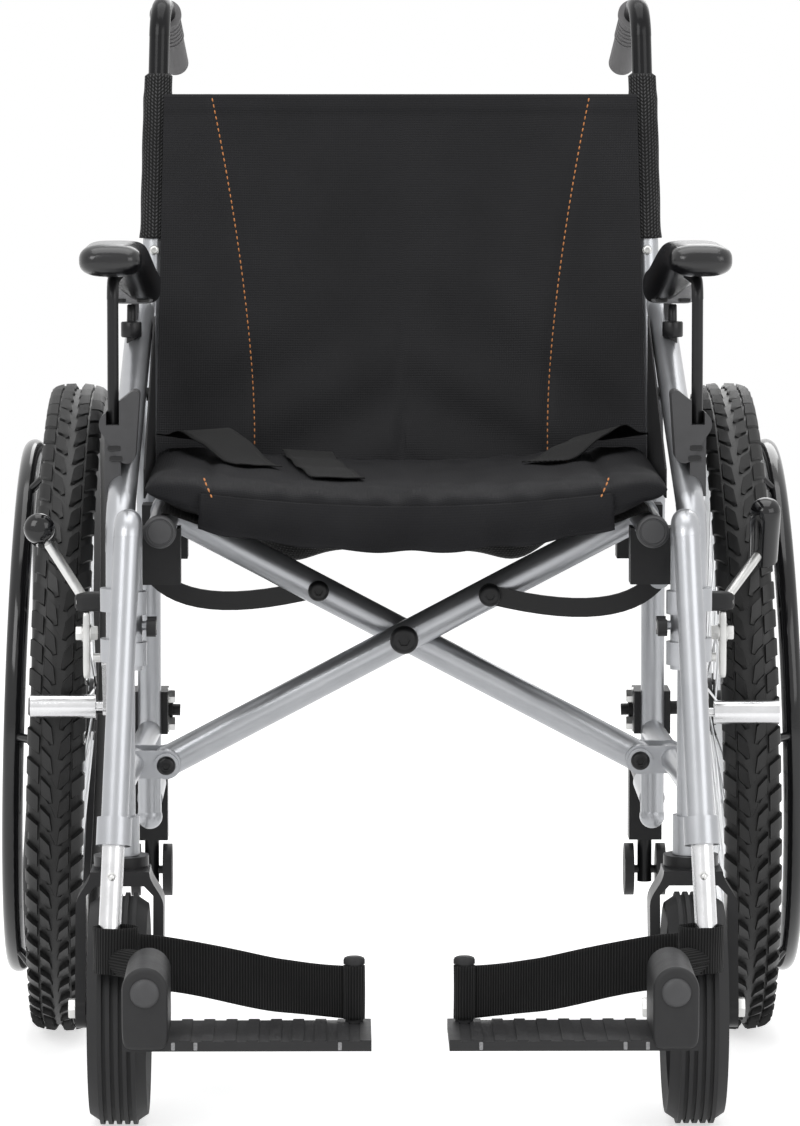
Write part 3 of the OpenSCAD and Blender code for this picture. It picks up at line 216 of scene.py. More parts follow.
grey_rubber = finish("grey_rubber", (0.15, 0.147, 0.15), (0.23, 0.226, 0.23), 70.0, (0.6, 0.8), 1600.0,
                     0.0001)
dress(grey_rubber, "push_grip")

# Wheel locks
# Zinc plated steel plates and levers, and bright machined roller shoes.
zinc_plate = finish("zinc_plate", (0.52, 0.52, 0.51), (0.74, 0.74, 0.73), 90.0, (0.25, 0.45), 1200.0,
                    0.00006, metallic=1.0)
dress(zinc_plate, "brake_mount", "brake_lever")
dress(bright_alloy, "brake_shoe")

# Rear wheels
# Black anodised rims and hubs with crossed chrome spokes, leaned in at the top by the camber.
# The finish changes with the distance from the axle.
CAMBER = np.radians(1.8)
WHEEL_AT = np.array([0.311, 0.220, 0.304959])
AXLE = np.array([np.cos(CAMBER), 0.0, np.sin(CAMBER)])


def wheel_finish():
    """Black where the distance from the axle is that of the hub or rim, and chrome between."""
    hub_r, rim_r = 0.0285, 0.2562
    made = bpy.data.materials.new("wheel_black_and_chrome")
    made.use_nodes = True
    nodes, links = made.node_tree.nodes, made.node_tree.links
    shader = nodes["Principled BSDF"]
    place = nodes.new("ShaderNodeTexCoord")
    parts = nodes.new("ShaderNodeSeparateXYZ")
    links.new(place.outputs["Object"], parts.inputs[0])
    outward = nodes.new("ShaderNodeMath")
    outward.operation = "ABSOLUTE"
    links.new(parts.outputs["X"], outward.inputs[0])
    folded = nodes.new("ShaderNodeCombineXYZ")
    links.new(outward.outputs[0], folded.inputs["X"])
    links.new(parts.outputs["Y"], folded.inputs["Y"])
    links.new(parts.outputs["Z"], folded.inputs["Z"])
    local = nodes.new("ShaderNodeVectorMath")
    local.operation = "SUBTRACT"
    local.inputs[1].default_value = WHEEL_AT
    links.new(folded.outputs[0], local.inputs[0])
    across = nodes.new("ShaderNodeVectorMath")
    across.operation = "CROSS_PRODUCT"
    across.inputs[1].default_value = AXLE
    links.new(local.outputs[0], across.inputs[0])
    radius = nodes.new("ShaderNodeVectorMath")
    radius.operation = "LENGTH"
    links.new(across.outputs[0], radius.inputs[0])
    spoke = nodes.new("ShaderNodeValToRGB")
    spoke.color_ramp.interpolation = "CONSTANT"
    spoke.color_ramp.elements[0].color = (0, 0, 0, 1)
    spoke.color_ramp.elements[1].position = hub_r
    spoke.color_ramp.elements[1].color = (1, 1, 1, 1)
    spoke.color_ramp.elements.new(rim_r).color = (0, 0, 0, 1)
    links.new(radius.outputs["Value"], spoke.inputs["Fac"])
    wear = nodes.new("ShaderNodeTexNoise")
    wear.inputs["Scale"].default_value = 60.0
    links.new(place.outputs["Object"], wear.inputs["Vector"])
    black = nodes.new("ShaderNodeMix")
    black.data_type = "RGBA"
    black.inputs["A"].default_value = (0.012, 0.012, 0.013, 1)
    black.inputs["B"].default_value = (0.030, 0.030, 0.031, 1)
    links.new(wear.outputs["Fac"], black.inputs["Factor"])
    colour = nodes.new("ShaderNodeMix")
    colour.data_type = "RGBA"
    colour.inputs["B"].default_value = (0.78, 0.79, 0.80, 1)
    links.new(spoke.outputs["Color"], colour.inputs["Factor"])
    links.new(black.outputs["Result"], colour.inputs["A"])
    links.new(colour.outputs["Result"], shader.inputs["Base Color"])
    links.new(spoke.outputs["Color"], shader.inputs["Metallic"])
    dull = nodes.new("ShaderNodeMapRange")
    dull.inputs["To Min"].default_value = 0.24
    dull.inputs["To Max"].default_value = 0.38
    links.new(wear.outputs["Fac"], dull.inputs["Value"])
    links.new(dull.outputs["Result"], shader.inputs["Roughness"])
    return made


dress(wheel_finish(), "rear_wheel")


def quads(rows, cols, round_rows=False, round_cols=False):
    """Faces between neighbours on a grid of rows by cols points, closed round either way if asked."""
    i = np.arange(rows if round_rows else rows - 1)[:, None]
    j = np.arange(cols if round_cols else cols - 1)[None, :]
    i1, j1 = (i + 1) % rows, (j + 1) % cols
    return np.stack([i * cols + j, i * cols + j1, i1 * cols + j1, i1 * cols + j], -1).reshape(-1, 4)


def piece(name, points, faces, material, body=None, uv=None, smooth=True):
    """Object from an array of points and faces: doubles merged, faces turned outwards, riding on the
    body."""
    mesh = bpy.data.meshes.new(name)
    mesh.from_pydata(np.asarray(points, float).reshape(-1, 3).tolist(), [], np.asarray(faces).tolist())
    if uv is not None:
        corners = np.asarray(faces).reshape(-1)
        layer = mesh.uv_layers.new(name="cloth")
        layer.data.foreach_set("uv", np.asarray(uv, np.float32).reshape(-1, 2)[corners].reshape(-1))
    shape = bmesh.new()
    shape.from_mesh(mesh)
    bmesh.ops.remove_doubles(shape, verts=shape.verts, dist=1e-6)
    bmesh.ops.recalc_face_normals(shape, faces=shape.faces)
    shape.to_mesh(mesh)
    shape.free()
    mesh.polygons.foreach_set("use_smooth", [smooth] * len(mesh.polygons))
    mesh.materials.append(material)
    made = bpy.data.objects.new(name, mesh)
    bpy.context.collection.objects.link(made)
    if body:
        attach(made, body)
    return made


def rise(x, low, high):
    """Smooth step from nought at low to one at high."""
    t = np.clip((x - low) / (high - low), 0.0, 1.0)
    return t * t * (3 - 2 * t)


# Rear tyres
# Knobbly rubber for soft ground: curved lugs in two rows a side, each rising slowly and ending in a wall.
# The halves lie half a pitch apart, with a zigzag groove between them; the outer lugs stand out from
# the shoulder.
TYRE_R, BEAD_R, TYRE_HALF, BLOCK_H = 0.305, 0.276, 0.0245, 0.0055
LUGS = 70
tyre_rubber = finish("tyre_rubber", (0.006, 0.006, 0.006), (0.016, 0.016, 0.016), 55.0, (0.34, 0.52),
                     1400.0, 0.00012, shine=0.42)


def tyre_points(side):
    """Section swept round the axle on a sheared grid, so that its rows follow the lugs' curved edges.
    Each row of the half section has: place across, share of the arch's height, lug height, push
    outwards, lag in pitches."""
    rows = np.array([
        (0.56, 0.00, 0, 0, 1.00), (0.72, 0.10, 0, 0, 1.00), (0.86, 0.24, 0, 0, 1.00),
        (0.95, 0.38, 0, 0, 1.00), (1.00, 0.50, 0, 0, 1.00), (1.00, 0.60, 0, 0, 1.00),
        (0.98, 0.69, 0, 0, 1.00), (0.98, 0.70, 0.35, 0.09, 1.00), (0.95, 0.79, 0.80, 0.08, 0.98),
        (0.86, 0.87, 1, 0.03, 0.90), (0.74, 0.92, 1, 0, 0.80), (0.62, 0.95, 1, 0, 0.72),
        (0.60, 0.955, 0, 0, 0.70), (0.54, 0.965, 0, 0, 0.36), (0.52, 0.97, 1, 0, 0.34),
        (0.36, 0.985, 1, 0, 0.20), (0.20, 1, 1, 0, 0.09), (0.10, 1, 1, 0, 0.04),
        (0.08, 1, 0, 0, 0.03), (0.03, 1, 0, 0, 0.0)])
    place, share, lug, push, lag = rows.T
    steps = np.array([0.0, 0.12, 0.34, 0.56, 0.62, 0.80, 0.96])
    height = np.array([0.40, 0.52, 0.76, 1.0, 0.0, 0.0, 0.0])
    phase = (np.arange(LUGS)[:, None] + steps).reshape(-1, 1)
    high, climb = np.tile(height, LUGS)[:, None], np.tile(steps, LUGS)[:, None]
    halves = []
    for half in (-1, 1):
        angle = 2 * np.pi * (phase + lag + (0.5 if half > 0 else 0.0)) / LUGS
        zigzag = 0.16 * climb * np.clip((0.3 - place) / 0.2, 0, 1)
        out = half * TYRE_HALF * (place + zigzag + push * (high > 0))
        radius = BEAD_R + (TYRE_R - BLOCK_H - BEAD_R) * share + BLOCK_H * lug * high
        halves.append(np.stack([out, radius * np.cos(angle), radius * np.sin(angle)], -1))
    grid = np.concatenate([halves[0], halves[1][:, ::-1]], 1)
    up, rear = np.array([-np.sin(CAMBER), 0.0, np.cos(CAMBER)]), np.array([0, 1.0, 0])
    points = WHEEL_AT + grid @ np.stack([AXLE, up, rear])
    return points * np.array([side, 1.0, 1.0])


for name, side in SIDES.items():
    points = tyre_points(side)
    tyre = piece(f"tyre_{name}", points, quads(*points.shape[:2], True, True), tyre_rubber,
                 f"rear_wheel_{name}")
    tyre.data.set_sharp_from_angle(angle=np.radians(38))
    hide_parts(f"rear_tyre_{name}")

# Castor tyres
# Grey-black rubber with five ribs round the tread.
castor_rubber = finish("castor_rubber", (0.020, 0.020, 0.021), (0.038, 0.038, 0.039), 50.0, (0.5, 0.7),
                       1200.0, 0.00012, shine=0.3)
dress(castor_rubber, "castor_tyre")

# Seat sling
# Black mesh cloth sewn over the two seat rails; it hangs in a shallow trough between them.
# The cushion lies on it.
RAIL_X, RAIL_Z = 0.213, 0.510
SLING_HALF, SLING_TOP, SLING_SAG = 0.206, 0.5262, 0.031


def cloth(name, dark, light, threads, depth, rough, painted_gap_shade=False, ribbed=False, shine=0.16, sheen=0.06):
    """Woven cloth on its own UV map in metres: two crossing waves at the given threads a metre, or one
    for ribs, make the weave's relief, and slow noise varies the tone. For open weaves the colour follows
    the weave as well: the hollows of the weave are darker, as painted shade, and the crowns of the
    threads lighter, as painted sheen."""
    made = bpy.data.materials.new(name)
    made.use_nodes = True
    nodes, links = made.node_tree.nodes, made.node_tree.links
    shader = nodes["Principled BSDF"]
    shader.inputs["Roughness"].default_value = rough
    shader.inputs["Specular IOR Level"].default_value = shine
    shader.inputs["Sheen Weight"].default_value = sheen
    shader.inputs["Sheen Roughness"].default_value = 0.4
    place = nodes.new("ShaderNodeUVMap")
    place.uv_map = "cloth"
    waves = []
    for direction in ("Y", "Y") if ribbed else ("X", "Y"):
        wave = nodes.new("ShaderNodeTexWave")
        wave.bands_direction = direction
        wave.inputs["Scale"].default_value = threads * 2 * np.pi / 20
        links.new(place.outputs[0], wave.inputs["Vector"])
        waves.append(wave)
    weave = nodes.new("ShaderNodeMath")
    weave.operation = "MULTIPLY" if painted_gap_shade else "ADD"
    links.new(waves[0].outputs["Fac"], weave.inputs[0])
    links.new(waves[1].outputs["Fac"], weave.inputs[1])
    tone = nodes.new("ShaderNodeTexNoise")
    tone.inputs["Scale"].default_value = 14.0
    tone.inputs["Detail"].default_value = 5.0
    links.new(place.outputs[0], tone.inputs["Vector"])
    share = nodes.new("ShaderNodeMath")
    share.operation = "MULTIPLY"
    links.new(tone.outputs["Fac"], share.inputs[0])
    # Painted light: the weave darkens the colour in its hollows (painted shade) and leaves the crowns
    # light (painted sheen).
    if painted_gap_shade:
        links.new(weave.outputs[0], share.inputs[1])
    else:
        share.inputs[1].default_value = 1.0
    colour = nodes.new("ShaderNodeMix")
    colour.data_type = "RGBA"
    colour.inputs["A"].default_value = (*dark, 1)
    colour.inputs["B"].default_value = (*light, 1)
    links.new(share.outputs[0], colour.inputs["Factor"])
    links.new(colour.outputs["Result"], shader.inputs["Base Color"])
    relief = nodes.new("ShaderNodeBump")
    relief.inputs["Distance"].default_value = depth
    links.new(weave.outputs[0], relief.inputs["Height"])
    links.new(relief.outputs["Normal"], shader.inputs["Normal"])
    return made


def thicken(made, depth):
    """Wall of the given depth behind the surface, as part of the mesh."""
    wall = made.modifiers.new("wall", "SOLIDIFY")
    wall.thickness = depth
    wall.offset = -1.0
    with bpy.context.temp_override(object=made):
        bpy.ops.object.modifier_apply(modifier="wall")


def lengths(points, axis):
    """Running length along one axis of a grid of points, from nought."""
    steps = np.linalg.norm(np.diff(points, axis=axis), axis=-1)
    return np.concatenate([np.zeros_like(np.take(steps, [0], axis)), np.cumsum(steps, axis)], axis)


# Its threads are painted lighter and the hollows between them darker: painted sheen and painted shade on
# black mesh.
mesh_cloth = cloth("mesh_cloth", (0.006, 0.006, 0.006), (0.055, 0.055, 0.056), 340.0, 0.0006, 0.75,
                   painted_gap_shade=True)


def sling_height(x):
    """Top of the sling at x: rail top - sag (1 - |x / rail|^2.6), level over the rails."""
    return SLING_TOP - SLING_SAG * (1 - np.minimum(np.abs(x) / SLING_HALF, 1.0) ** 2.6)


def sling_points():
    """The sling's trough from rail to rail, with the edges turned down over the rails and faint cross
    waves; behind the cross it hangs lower, most of all to both sides of the middle."""
    u = np.linspace(-1, 1, 81)[:, None]
    y = np.linspace(-0.224, 0.148, 61)[None, :]
    x = u * 0.2215 + 0 * y
    across = np.minimum(np.abs(x) / SLING_HALF, 1.0)
    hang = 0.026 * (1 - across ** 4) + 0.015 * np.exp(-((np.abs(x) - 0.105) / 0.03) ** 2)
    z = sling_height(x) - 0.010 * rise(np.abs(x), 0.209, 0.2215) - hang * rise(y, 0.005, 0.05)
    return np.stack([x, y + 0 * x, z + 0.0008 * np.sin(60 * y + 9 * u)], -1)


points = sling_points()
flat = np.stack([lengths(points, 0), lengths(points, 1)], -1)
sling = piece("seat_sling_cloth", points, quads(*points.shape[:2]), mesh_cloth, uv=flat)
thicken(sling, 0.0012)
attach(sling, "seat")
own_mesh(sling)
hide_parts("seat_sling")

# Seat cushion
# Thin foam pad in coarse black nylon that follows the sling's trough, with a rolled front edge.
# Two sewn channels run fore and aft, their thread orange where it crosses the roll.
seat_nylon = cloth("seat_nylon", (0.009, 0.009, 0.010), (0.022, 0.022, 0.024), 420.0, 0.00012, 0.58,
                   shine=0.10, sheen=0.02)
CUSHION_X, CUSHION_FRONT, CUSHION_REAR = 0.2255, -0.2395, 0.165
SEAM_X = 0.172
trough_low, trough_rise = 0.5455, 0.0185


def cushion_points():
    """Closed pad: for each place u across, a flat loop of fore-and-aft section |y|^n + |z|^n = 1
    between the sling and the top line z = low + rise u^2; it shrinks to nothing at both ends, and is
    pinched at the two seams."""
    u = np.sin(np.linspace(-np.pi / 2, np.pi / 2, 141))[:, None]
    t = np.linspace(0, 2 * np.pi, 128, endpoint=False)[None, :]
    end = (1 - np.abs(u) ** 10) ** 0.5
    x = u * CUSHION_X + 0 * t
    pinch = np.exp(-((np.abs(x) - SEAM_X) / 0.005) ** 2)
    top = trough_low + trough_rise * u ** 2 - 0.0030 * pinch
    low = sling_height(x) + 0.0026
    half = (top - low) / 2 * end
    reach = (CUSHION_REAR - CUSHION_FRONT) / 2 * (1 - 0.02 * np.abs(u) ** 6)
    c, s = np.cos(t), np.sin(t)
    y = (CUSHION_REAR + CUSHION_FRONT) / 2 + reach * np.sign(c) * np.abs(c) ** 0.22
    z = (top + low) / 2 + half * np.sign(s) * np.abs(s) ** 0.45
    crease = 0.0010 * np.sin(95 * x + 40 * y) * np.sin(41 * x - 70 * y + 1.3)
    crease = crease + 0.0007 * np.sin(160 * x - 55 * y)
    near_front = np.exp(-((y - CUSHION_FRONT) / 0.03) ** 2)
    gather = 0.0016 * near_front * np.sin(210 * x) * np.exp(-(u / 0.55) ** 2)
    return np.stack([x, y, z + (crease + gather) * end], -1)


points = cushion_points()
flat = np.stack([lengths(points, 0), lengths(points, 1)], -1)
cushion = piece("seat_cushion_pad", points, quads(*points.shape[:2], False, True), seat_nylon, uv=flat)
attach(cushion, "seat")
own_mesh(cushion)
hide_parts("seat_cushion")

# Seat flap
# The cover's front flap: doubled nylon hung from the cushion's roll, hemmed below, lower in the middle.
FLAP_X = 0.178


def flap_points():
    """Sheet from under the roll to the hem: the hem line is low - rise u^2, with soft waves that grow
    downwards."""
    u = np.linspace(-1, 1, 101)[:, None]
    v = np.linspace(0, 1, 25)[None, :]
    x = u * FLAP_X * (1 + 0.012 * v)
    top = trough_low - 0.013 + trough_rise * (x / CUSHION_X) ** 2
    hem = 0.4925 + 0.020 * u ** 2 + 0.0012 * np.sin(17 * u + 1.0)
    z = top + (hem - top) * v
    wave = 0.0035 * v * np.sin(13 * u + 2.2 * v) + 0.0015 * v * np.sin(31 * u + 1.0)
    y = CUSHION_FRONT - 0.0012 - 0.0045 * np.sin(np.pi * np.minimum(v * 1.1, 1.0)) + wave
    return np.stack([x, y, z], -1)


points = flap_points()
flat = np.stack([lengths(points, 0), lengths(points, 1)], -1)
flap = piece("seat_flap", points, quads(*points.shape[:2]), seat_nylon, uv=flat)
thicken(flap, 0.0014)
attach(flap, "seat")
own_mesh(flap)

# Stitching
# Orange thread: two rows down the back upholstery and a short row over the seat's roll at each channel.
thread = finish("orange_thread", (0.55, 0.20, 0.06), (0.80, 0.34, 0.12), 300.0, (0.6, 0.75), 2500.0,
                0.0001)


def stitches(name, line, out, length=0.0042, gap=0.0014, radius=0.0006):
    """Row of short thread loops along a line of points: each is a half wave that dips at its ends along
    -out."""
    along = np.concatenate([[0], np.cumsum(np.linalg.norm(np.diff(line, axis=0), axis=1))])
    count = int(along[-1] / (length + gap))
    start = np.arange(count) * (length + gap)
    t = np.linspace(0, 1, 5)
    where = start[:, None] + t[None, :] * length
    centre = np.stack([np.interp(where, along, line[:, k]) for k in range(3)], -1)
    outward = np.stack([np.interp(where, along, out[:, k]) for k in range(3)], -1)
    centre = centre + outward * (radius * (1.6 * np.sin(np.pi * t) - 0.5))[None, :, None]
    way = np.gradient(centre, axis=1)
    way /= np.linalg.norm(way, axis=-1, keepdims=True)
    side = np.cross(way, outward)
    side /= np.linalg.norm(side, axis=-1, keepdims=True)
    up = np.cross(side, way)
    turn = np.arange(6) * np.pi / 3
    thick = (radius * np.array([0.0, 0.9, 1.0, 0.9, 0.0]))[None, :, None, None]
    ring = np.cos(turn)[:, None] * side[:, :, None, :] + np.sin(turn)[:, None] * up[:, :, None, :]
    points = centre[:, :, None, :] + thick * ring
    one = quads(5, 6, False, True)
    faces = (np.arange(count)[:, None, None] * 30 + one[None]).reshape(-1, 4)
    return piece(name, points, faces, thread)


def seam_row(name, side):
    """Stitches down the cushion's rolled front at one channel, slanting inwards, on the pad's own
    section."""
    down = np.linspace(0.0, 1.0, 40)
    x = side * (SEAM_X + 0.003 - 0.008 * down)
    z = trough_low + trough_rise * (SEAM_X / CUSHION_X) ** 2 + 0.0005 - 0.019 * down
    y = CUSHION_FRONT - 0.0012 + 0.006 * (1 - rise(down, 0.0, 0.3))
    line = np.stack([x, y, z], -1)
    out = np.tile([0.0, -0.9, 0.44], (len(line), 1))
    return stitches(name, line, out / np.linalg.norm(out[0]), length=0.0046, gap=0.0012, radius=0.0008)


for name, side in SIDES.items():
    row = seam_row(f"seat_stitches_{name}", side)
    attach(row, "seat")
    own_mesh(row)

# Back upholstery
# One panel of black coated nylon held by the canes, hemmed at the top and bellied to the rear by use.
# Two orange rows of stitching run down it and draw it in a little.
BACK_LOW, BACK_TOP = 0.512, 0.881
back_nylon = cloth("back_nylon", (0.008, 0.008, 0.009), (0.020, 0.020, 0.022), 450.0, 0.0001, 0.5)


def cane_at(z):
    """Middle of the back cane at height z: straight, reclined by eight degrees and drawn in."""
    climb = (np.asarray(z) - 0.505) / 0.391
    return 0.236 - 0.009 * climb, 0.185 + 0.391 * np.tan(np.radians(8)) * climb


def stitch_x(z):
    """Half distance between the two rows of stitching at height z: they bend together downwards."""
    return 0.137 + 0.0362 * np.clip((z - 0.570) / 0.291, 0, None) ** 1.6


def back_points():
    """Sheet in front of both canes: it bellies to the rear by a parabola across and a sine upwards,
    with slanted creases that fade upwards, a shallow groove at each row of stitching and a doubled hem
    at the top."""
    widest = np.pi / 2 * 0.98
    u = np.sin(np.linspace(-widest, widest, 161))[:, None] / np.sin(widest)
    z = np.linspace(BACK_LOW, BACK_TOP, 121)[None, :]
    climb = (z - BACK_LOW) / (BACK_TOP - BACK_LOW)
    cane_x, cane_y = cane_at(z)
    x = u * (cane_x - 0.006)
    belly = 0.025 * (1 - u ** 2) * np.sin(np.pi * (0.15 + 0.7 * climb))
    groove = 0.0012 * np.exp(-((np.abs(x) - stitch_x(z)) / 0.004) ** 2)
    slant = np.sin(70 * (z + 0.55 * np.abs(x)) + 3 * np.sign(x)) * np.exp(-((climb - 0.12) / 0.22) ** 2)
    upright = np.sin(55 * x + 4 * z) * np.exp(-((climb - 0.55) / 0.4) ** 2)
    crease = (1 - u ** 6) * (0.0022 * slant + 0.0011 * upright)
    hem = 0.0009 * rise(z, BACK_TOP - 0.017, BACK_TOP - 0.014)
    y = cane_y - 0.0154 + belly + groove + crease - hem
    return np.stack([x, y, z + 0 * x], -1)


points = back_points()
flat = np.stack([lengths(points, 0), lengths(points, 1)], -1)
back = piece("back_panel", points, quads(*points.shape[:2]), back_nylon, uv=flat)
thicken(back, 0.0014)
rows = []
for name, side in SIDES.items():
    z = np.linspace(BACK_TOP - 0.003, 0.530, 200)
    columns = np.argmin(np.abs(points[:, :, 0] - side * stitch_x(points[0, :, 2])[None, :]), axis=0)
    depth = np.interp(z, points[0, :, 2], points[columns, np.arange(points.shape[1]), 1])
    line = np.stack([side * stitch_x(z), depth - 0.0009, z], -1)
    out = np.tile([0.0, -1.0, 0.0], (len(z), 1))
    rows.append(stitches(f"back_stitches_{name}", line, out, length=0.0050, gap=0.0007, radius=0.0007))
for made in [back, *rows]:
    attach(made, "left_frame")
    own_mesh(made)
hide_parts("back_upholstery")

# Cane sleeves
# Tubes of black mesh sewn to the panel's edges and drawn over the upper canes, gathered in at the top.
# The threads of the mesh meet in a row of chevrons down the front.
# The threads are painted light grey and the hollows near black: painted sheen and painted shade on black
# mesh.
sleeve_mesh = cloth("sleeve_mesh", (0.007, 0.007, 0.007), (0.20, 0.20, 0.205), 300.0, 0.0006, 0.75,
                    painted_gap_shade=True)
SLEEVE_R, SLEEVE_LOW, SLEEVE_TOP = 0.0138, 0.747, 0.9005


def sleeve_points(side):
    """Tube round the cane, faintly wavy, flared at the lower hem, gathered above and closed on the
    handle tube. Also its weave: the distance round from the front, and the height less three quarters
    of that."""
    turn = np.linspace(0, 2 * np.pi, 48, endpoint=False)[:, None]
    z = np.linspace(SLEEVE_LOW, SLEEVE_TOP, 60)[None, :]
    cane_x, cane_y = cane_at(z)
    flare = 0.0007 * np.exp(-((z - SLEEVE_LOW) / 0.005) ** 2)
    radius = SLEEVE_R + 0.0002 * np.sin(5 * turn + 130 * z) + flare
    radius = radius - 0.0008 * rise(z, 0.876, 0.886) + 0.0003 * np.sin(11 * turn) * rise(z, 0.872, 0.890)
    radius = radius - 0.0036 * rise(z, 0.8980, SLEEVE_TOP)
    x, y = side * (cane_x + radius * np.cos(turn)), cane_y + radius * np.sin(turn)
    from_front = SLEEVE_R * np.abs((turn - np.pi / 2) % (2 * np.pi) - np.pi)
    weave = np.stack([from_front + 0 * z, z - 0.75 * from_front], -1)
    return np.stack([x, y, z + 0 * turn], -1), weave


for name, side in SIDES.items():
    points, weave = sleeve_points(side)
    sleeve = piece(f"cane_sleeve_cloth_{name}", points, quads(*points.shape[:2], True, False),
                   sleeve_mesh, uv=weave)
    thicken(sleeve, 0.0012)
    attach(sleeve, f"{name}_frame")
    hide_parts(f"cane_sleeve_{name}")

# Heel straps
# Wide black elastic with woven ribs, looped round the leg tube and the footplate's heel rod.
# It hangs a little to the rear between them.
# The rib crowns are painted lighter and the hollows darker: painted sheen and painted shade on black
# elastic.
elastic = cloth("elastic_web", (0.005, 0.005, 0.005), (0.060, 0.060, 0.061), 400.0, 0.0007, 0.75,
                painted_gap_shade=True, ribbed=True)


def strap_points(side):
    """Band along a shallow arc from leg tube to heel rod; it falls over the first two thirds."""
    t = np.linspace(0, 1, 61)[:, None]
    v = np.linspace(0, 1, 19)[None, :]
    a, b = np.array([0.2279, -0.3783]), np.array([0.0551, -0.433])
    along = (b - a) / np.linalg.norm(b - a)
    across = np.array([along[1], -along[0]])
    flat = a + t[..., None] * (b - a) + 0.016 * np.sin(np.pi * t)[..., None] * across
    low = 0.1340 - 0.0155 * rise(t, 0.02, 0.68)
    high = 0.1815 - 0.0180 * rise(t, 0.02, 0.68) - 0.0012 * np.sin(9 * t)
    z = low + (high - low) * v
    x, y = flat[..., 0] + 0 * v, flat[..., 1] + 0 * v
    return np.stack([side * x, y, z], -1)


for name, side in SIDES.items():
    points = strap_points(side)
    flat = np.stack([lengths(points, 1), lengths(points, 0)], -1)
    strap = piece(f"heel_strap_band_{name}", points, quads(*points.shape[:2]), elastic, uv=flat)
    thicken(strap, 0.0022)
    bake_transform(strap)
    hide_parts(f"heel_strap_{name}")
    float(lengths(points, 0)[-1, 9])

# Armrest pads
# Moulded foam with a black skin: round in front, crowned on top, the rear end drooping and turned in.
# Each is screwed down on the rod frame from below.
PAD_X, PAD_FRONT, PAD_Z, PAD_LENGTH, PAD_HALF = 0.256, -0.212, 0.7425, 0.335, 0.0275
pad_skin = finish("pad_skin", (0.004, 0.004, 0.005), (0.009, 0.009, 0.010), 40.0, (0.14, 0.24), 700.0,
                  0.00016, shine=0.55)


def pad_points(side):
    """Loft along the arm: superellipse sections whose half width and height close in round both ends;
    the middle line drops and turns in towards the rear."""
    s = (1 - np.cos(np.linspace(0, np.pi, 81)))[:, None] / 2
    t = np.linspace(0, 2 * np.pi, 56, endpoint=False)[None, :]
    ends = np.minimum(s, 1 - s) * PAD_LENGTH
    close = np.sqrt(np.clip(1 - np.clip(1 - ends / 0.020, 0, 1) ** 2, 0, 1))
    wide = PAD_HALF * (0.48 + 0.52 * close) * rise(close, -0.4, 0.02)
    high = 0.0143 * (0.15 + 0.85 * close) * rise(close, -0.4, 0.02)
    wide, high = np.where(ends <= 0, 0, wide), np.where(ends <= 0, 0, high)
    c, n = np.cos(t), np.sin(t)
    tail = rise(s, 0.42, 1.0)
    wide = wide * (1 - 0.5 * tail)
    x = PAD_X - 0.021 * tail + wide * np.sign(c) * np.abs(c) ** 0.70
    crown = high * (1 + 0.15 * tail) * np.sign(n) * np.abs(n) ** 0.76
    dish = 0.0016 * rise(s, 0.1, 0.4) * (1 - tail) * (n > 0) * np.abs(n) ** 4
    z = PAD_Z - 0.036 * tail + crown - dish
    return np.stack([side * x, PAD_FRONT + PAD_LENGTH * s + 0 * t, z], -1)


for name, side in SIDES.items():
    points = pad_points(side)
    pad = piece(f"arm_pad_{name}", points, quads(*points.shape[:2], False, True), pad_skin,
                f"armrest_{name}")
    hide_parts(f"armrest_pad_{name}")

# Caps and bolts
# Black plugs in the rail ends, domed socket caps over the pivot bolts and hex nuts on the castor axles.
FORWARD, UPWARD = (0.0, -1.0, 0.0), (0.0, 0.0, 1.0)


def turned(name, profile, centre, axis, material, body, sides=40):
    """Profile of (radius, along) carried round an axis; a third value of one makes the ring a hexagon."""
    profile = np.asarray(profile, float)
    axis = np.asarray(axis, float) / np.linalg.norm(axis)
    first = np.cross(axis, [0.0, 0.0, 1.0] if abs(axis[2]) < 0.9 else [1.0, 0.0, 0.0])
    first /= np.linalg.norm(first)
    second = np.cross(axis, first)
    turn = np.linspace(0, 2 * np.pi, sides, endpoint=False)
    hexed = np.cos(np.pi / 6) / np.cos(turn % (np.pi / 3) - np.pi / 6)
    flat_sided = profile[:, 2] if profile.shape[1] > 2 else np.zeros(len(profile))
    radius = profile[:, :1] * (1 + flat_sided[:, None] * (hexed[None, :] - 1))
    ring = np.cos(turn)[:, None] * first + np.sin(turn)[:, None] * second
    points = np.asarray(centre) + profile[:, 1, None, None] * axis + radius[..., None] * ring
    made = piece(name, points, quads(len(profile), sides, False, True), material, body)
    made.data.set_sharp_from_angle(angle=np.radians(40))


rail_plug = [
    (0, 0.0072), (0.0100, 0.0072), (0.0106, 0.0066), (0.0113, 0.0066), (0.0119, 0.0074), (0.0132, 0.0068),
    (0.0142, 0.0052), (0.0143, -0.004), (0.0138, -0.008), (0.0100, -0.008), (0, -0.008)]
for name, body, side in (("right", "cross_a", 1), ("left", "cross_b", -1)):
    turned(f"rail_plug_{name}", rail_plug, (side * RAIL_X, -0.234, RAIL_Z), FORWARD, cap_grey, body)


def socket_cap(name, centre, radius, height, material, body):
    """Domed bolt head that faces forward, with a hexagon socket."""
    key = radius * 0.42
    profile = [
        (0, height * 0.45, 1), (key * 0.98, height * 0.45, 1), (key, height * 0.98, 1),
        (radius * 0.62, height, 0), (radius * 0.84, height * 0.86, 0), (radius * 0.97, height * 0.5, 0),
        (radius, 0.0, 0), (0, 0.0, 0)]
    turned(name, profile, centre, FORWARD, material, body, sides=48)


socket_cap("cross_cap", (0, -0.0668, 0.398), 0.0128, 0.006, satin_black, "cross_a")
socket_cap("link_cap_left", (-0.0767, -0.0279, 0.4383), 0.0095, 0.006, satin_black, "cross_b")
socket_cap("link_cap_right", (0.0767, -0.0712, 0.4383), 0.0100, 0.004, satin_black, "link_right")

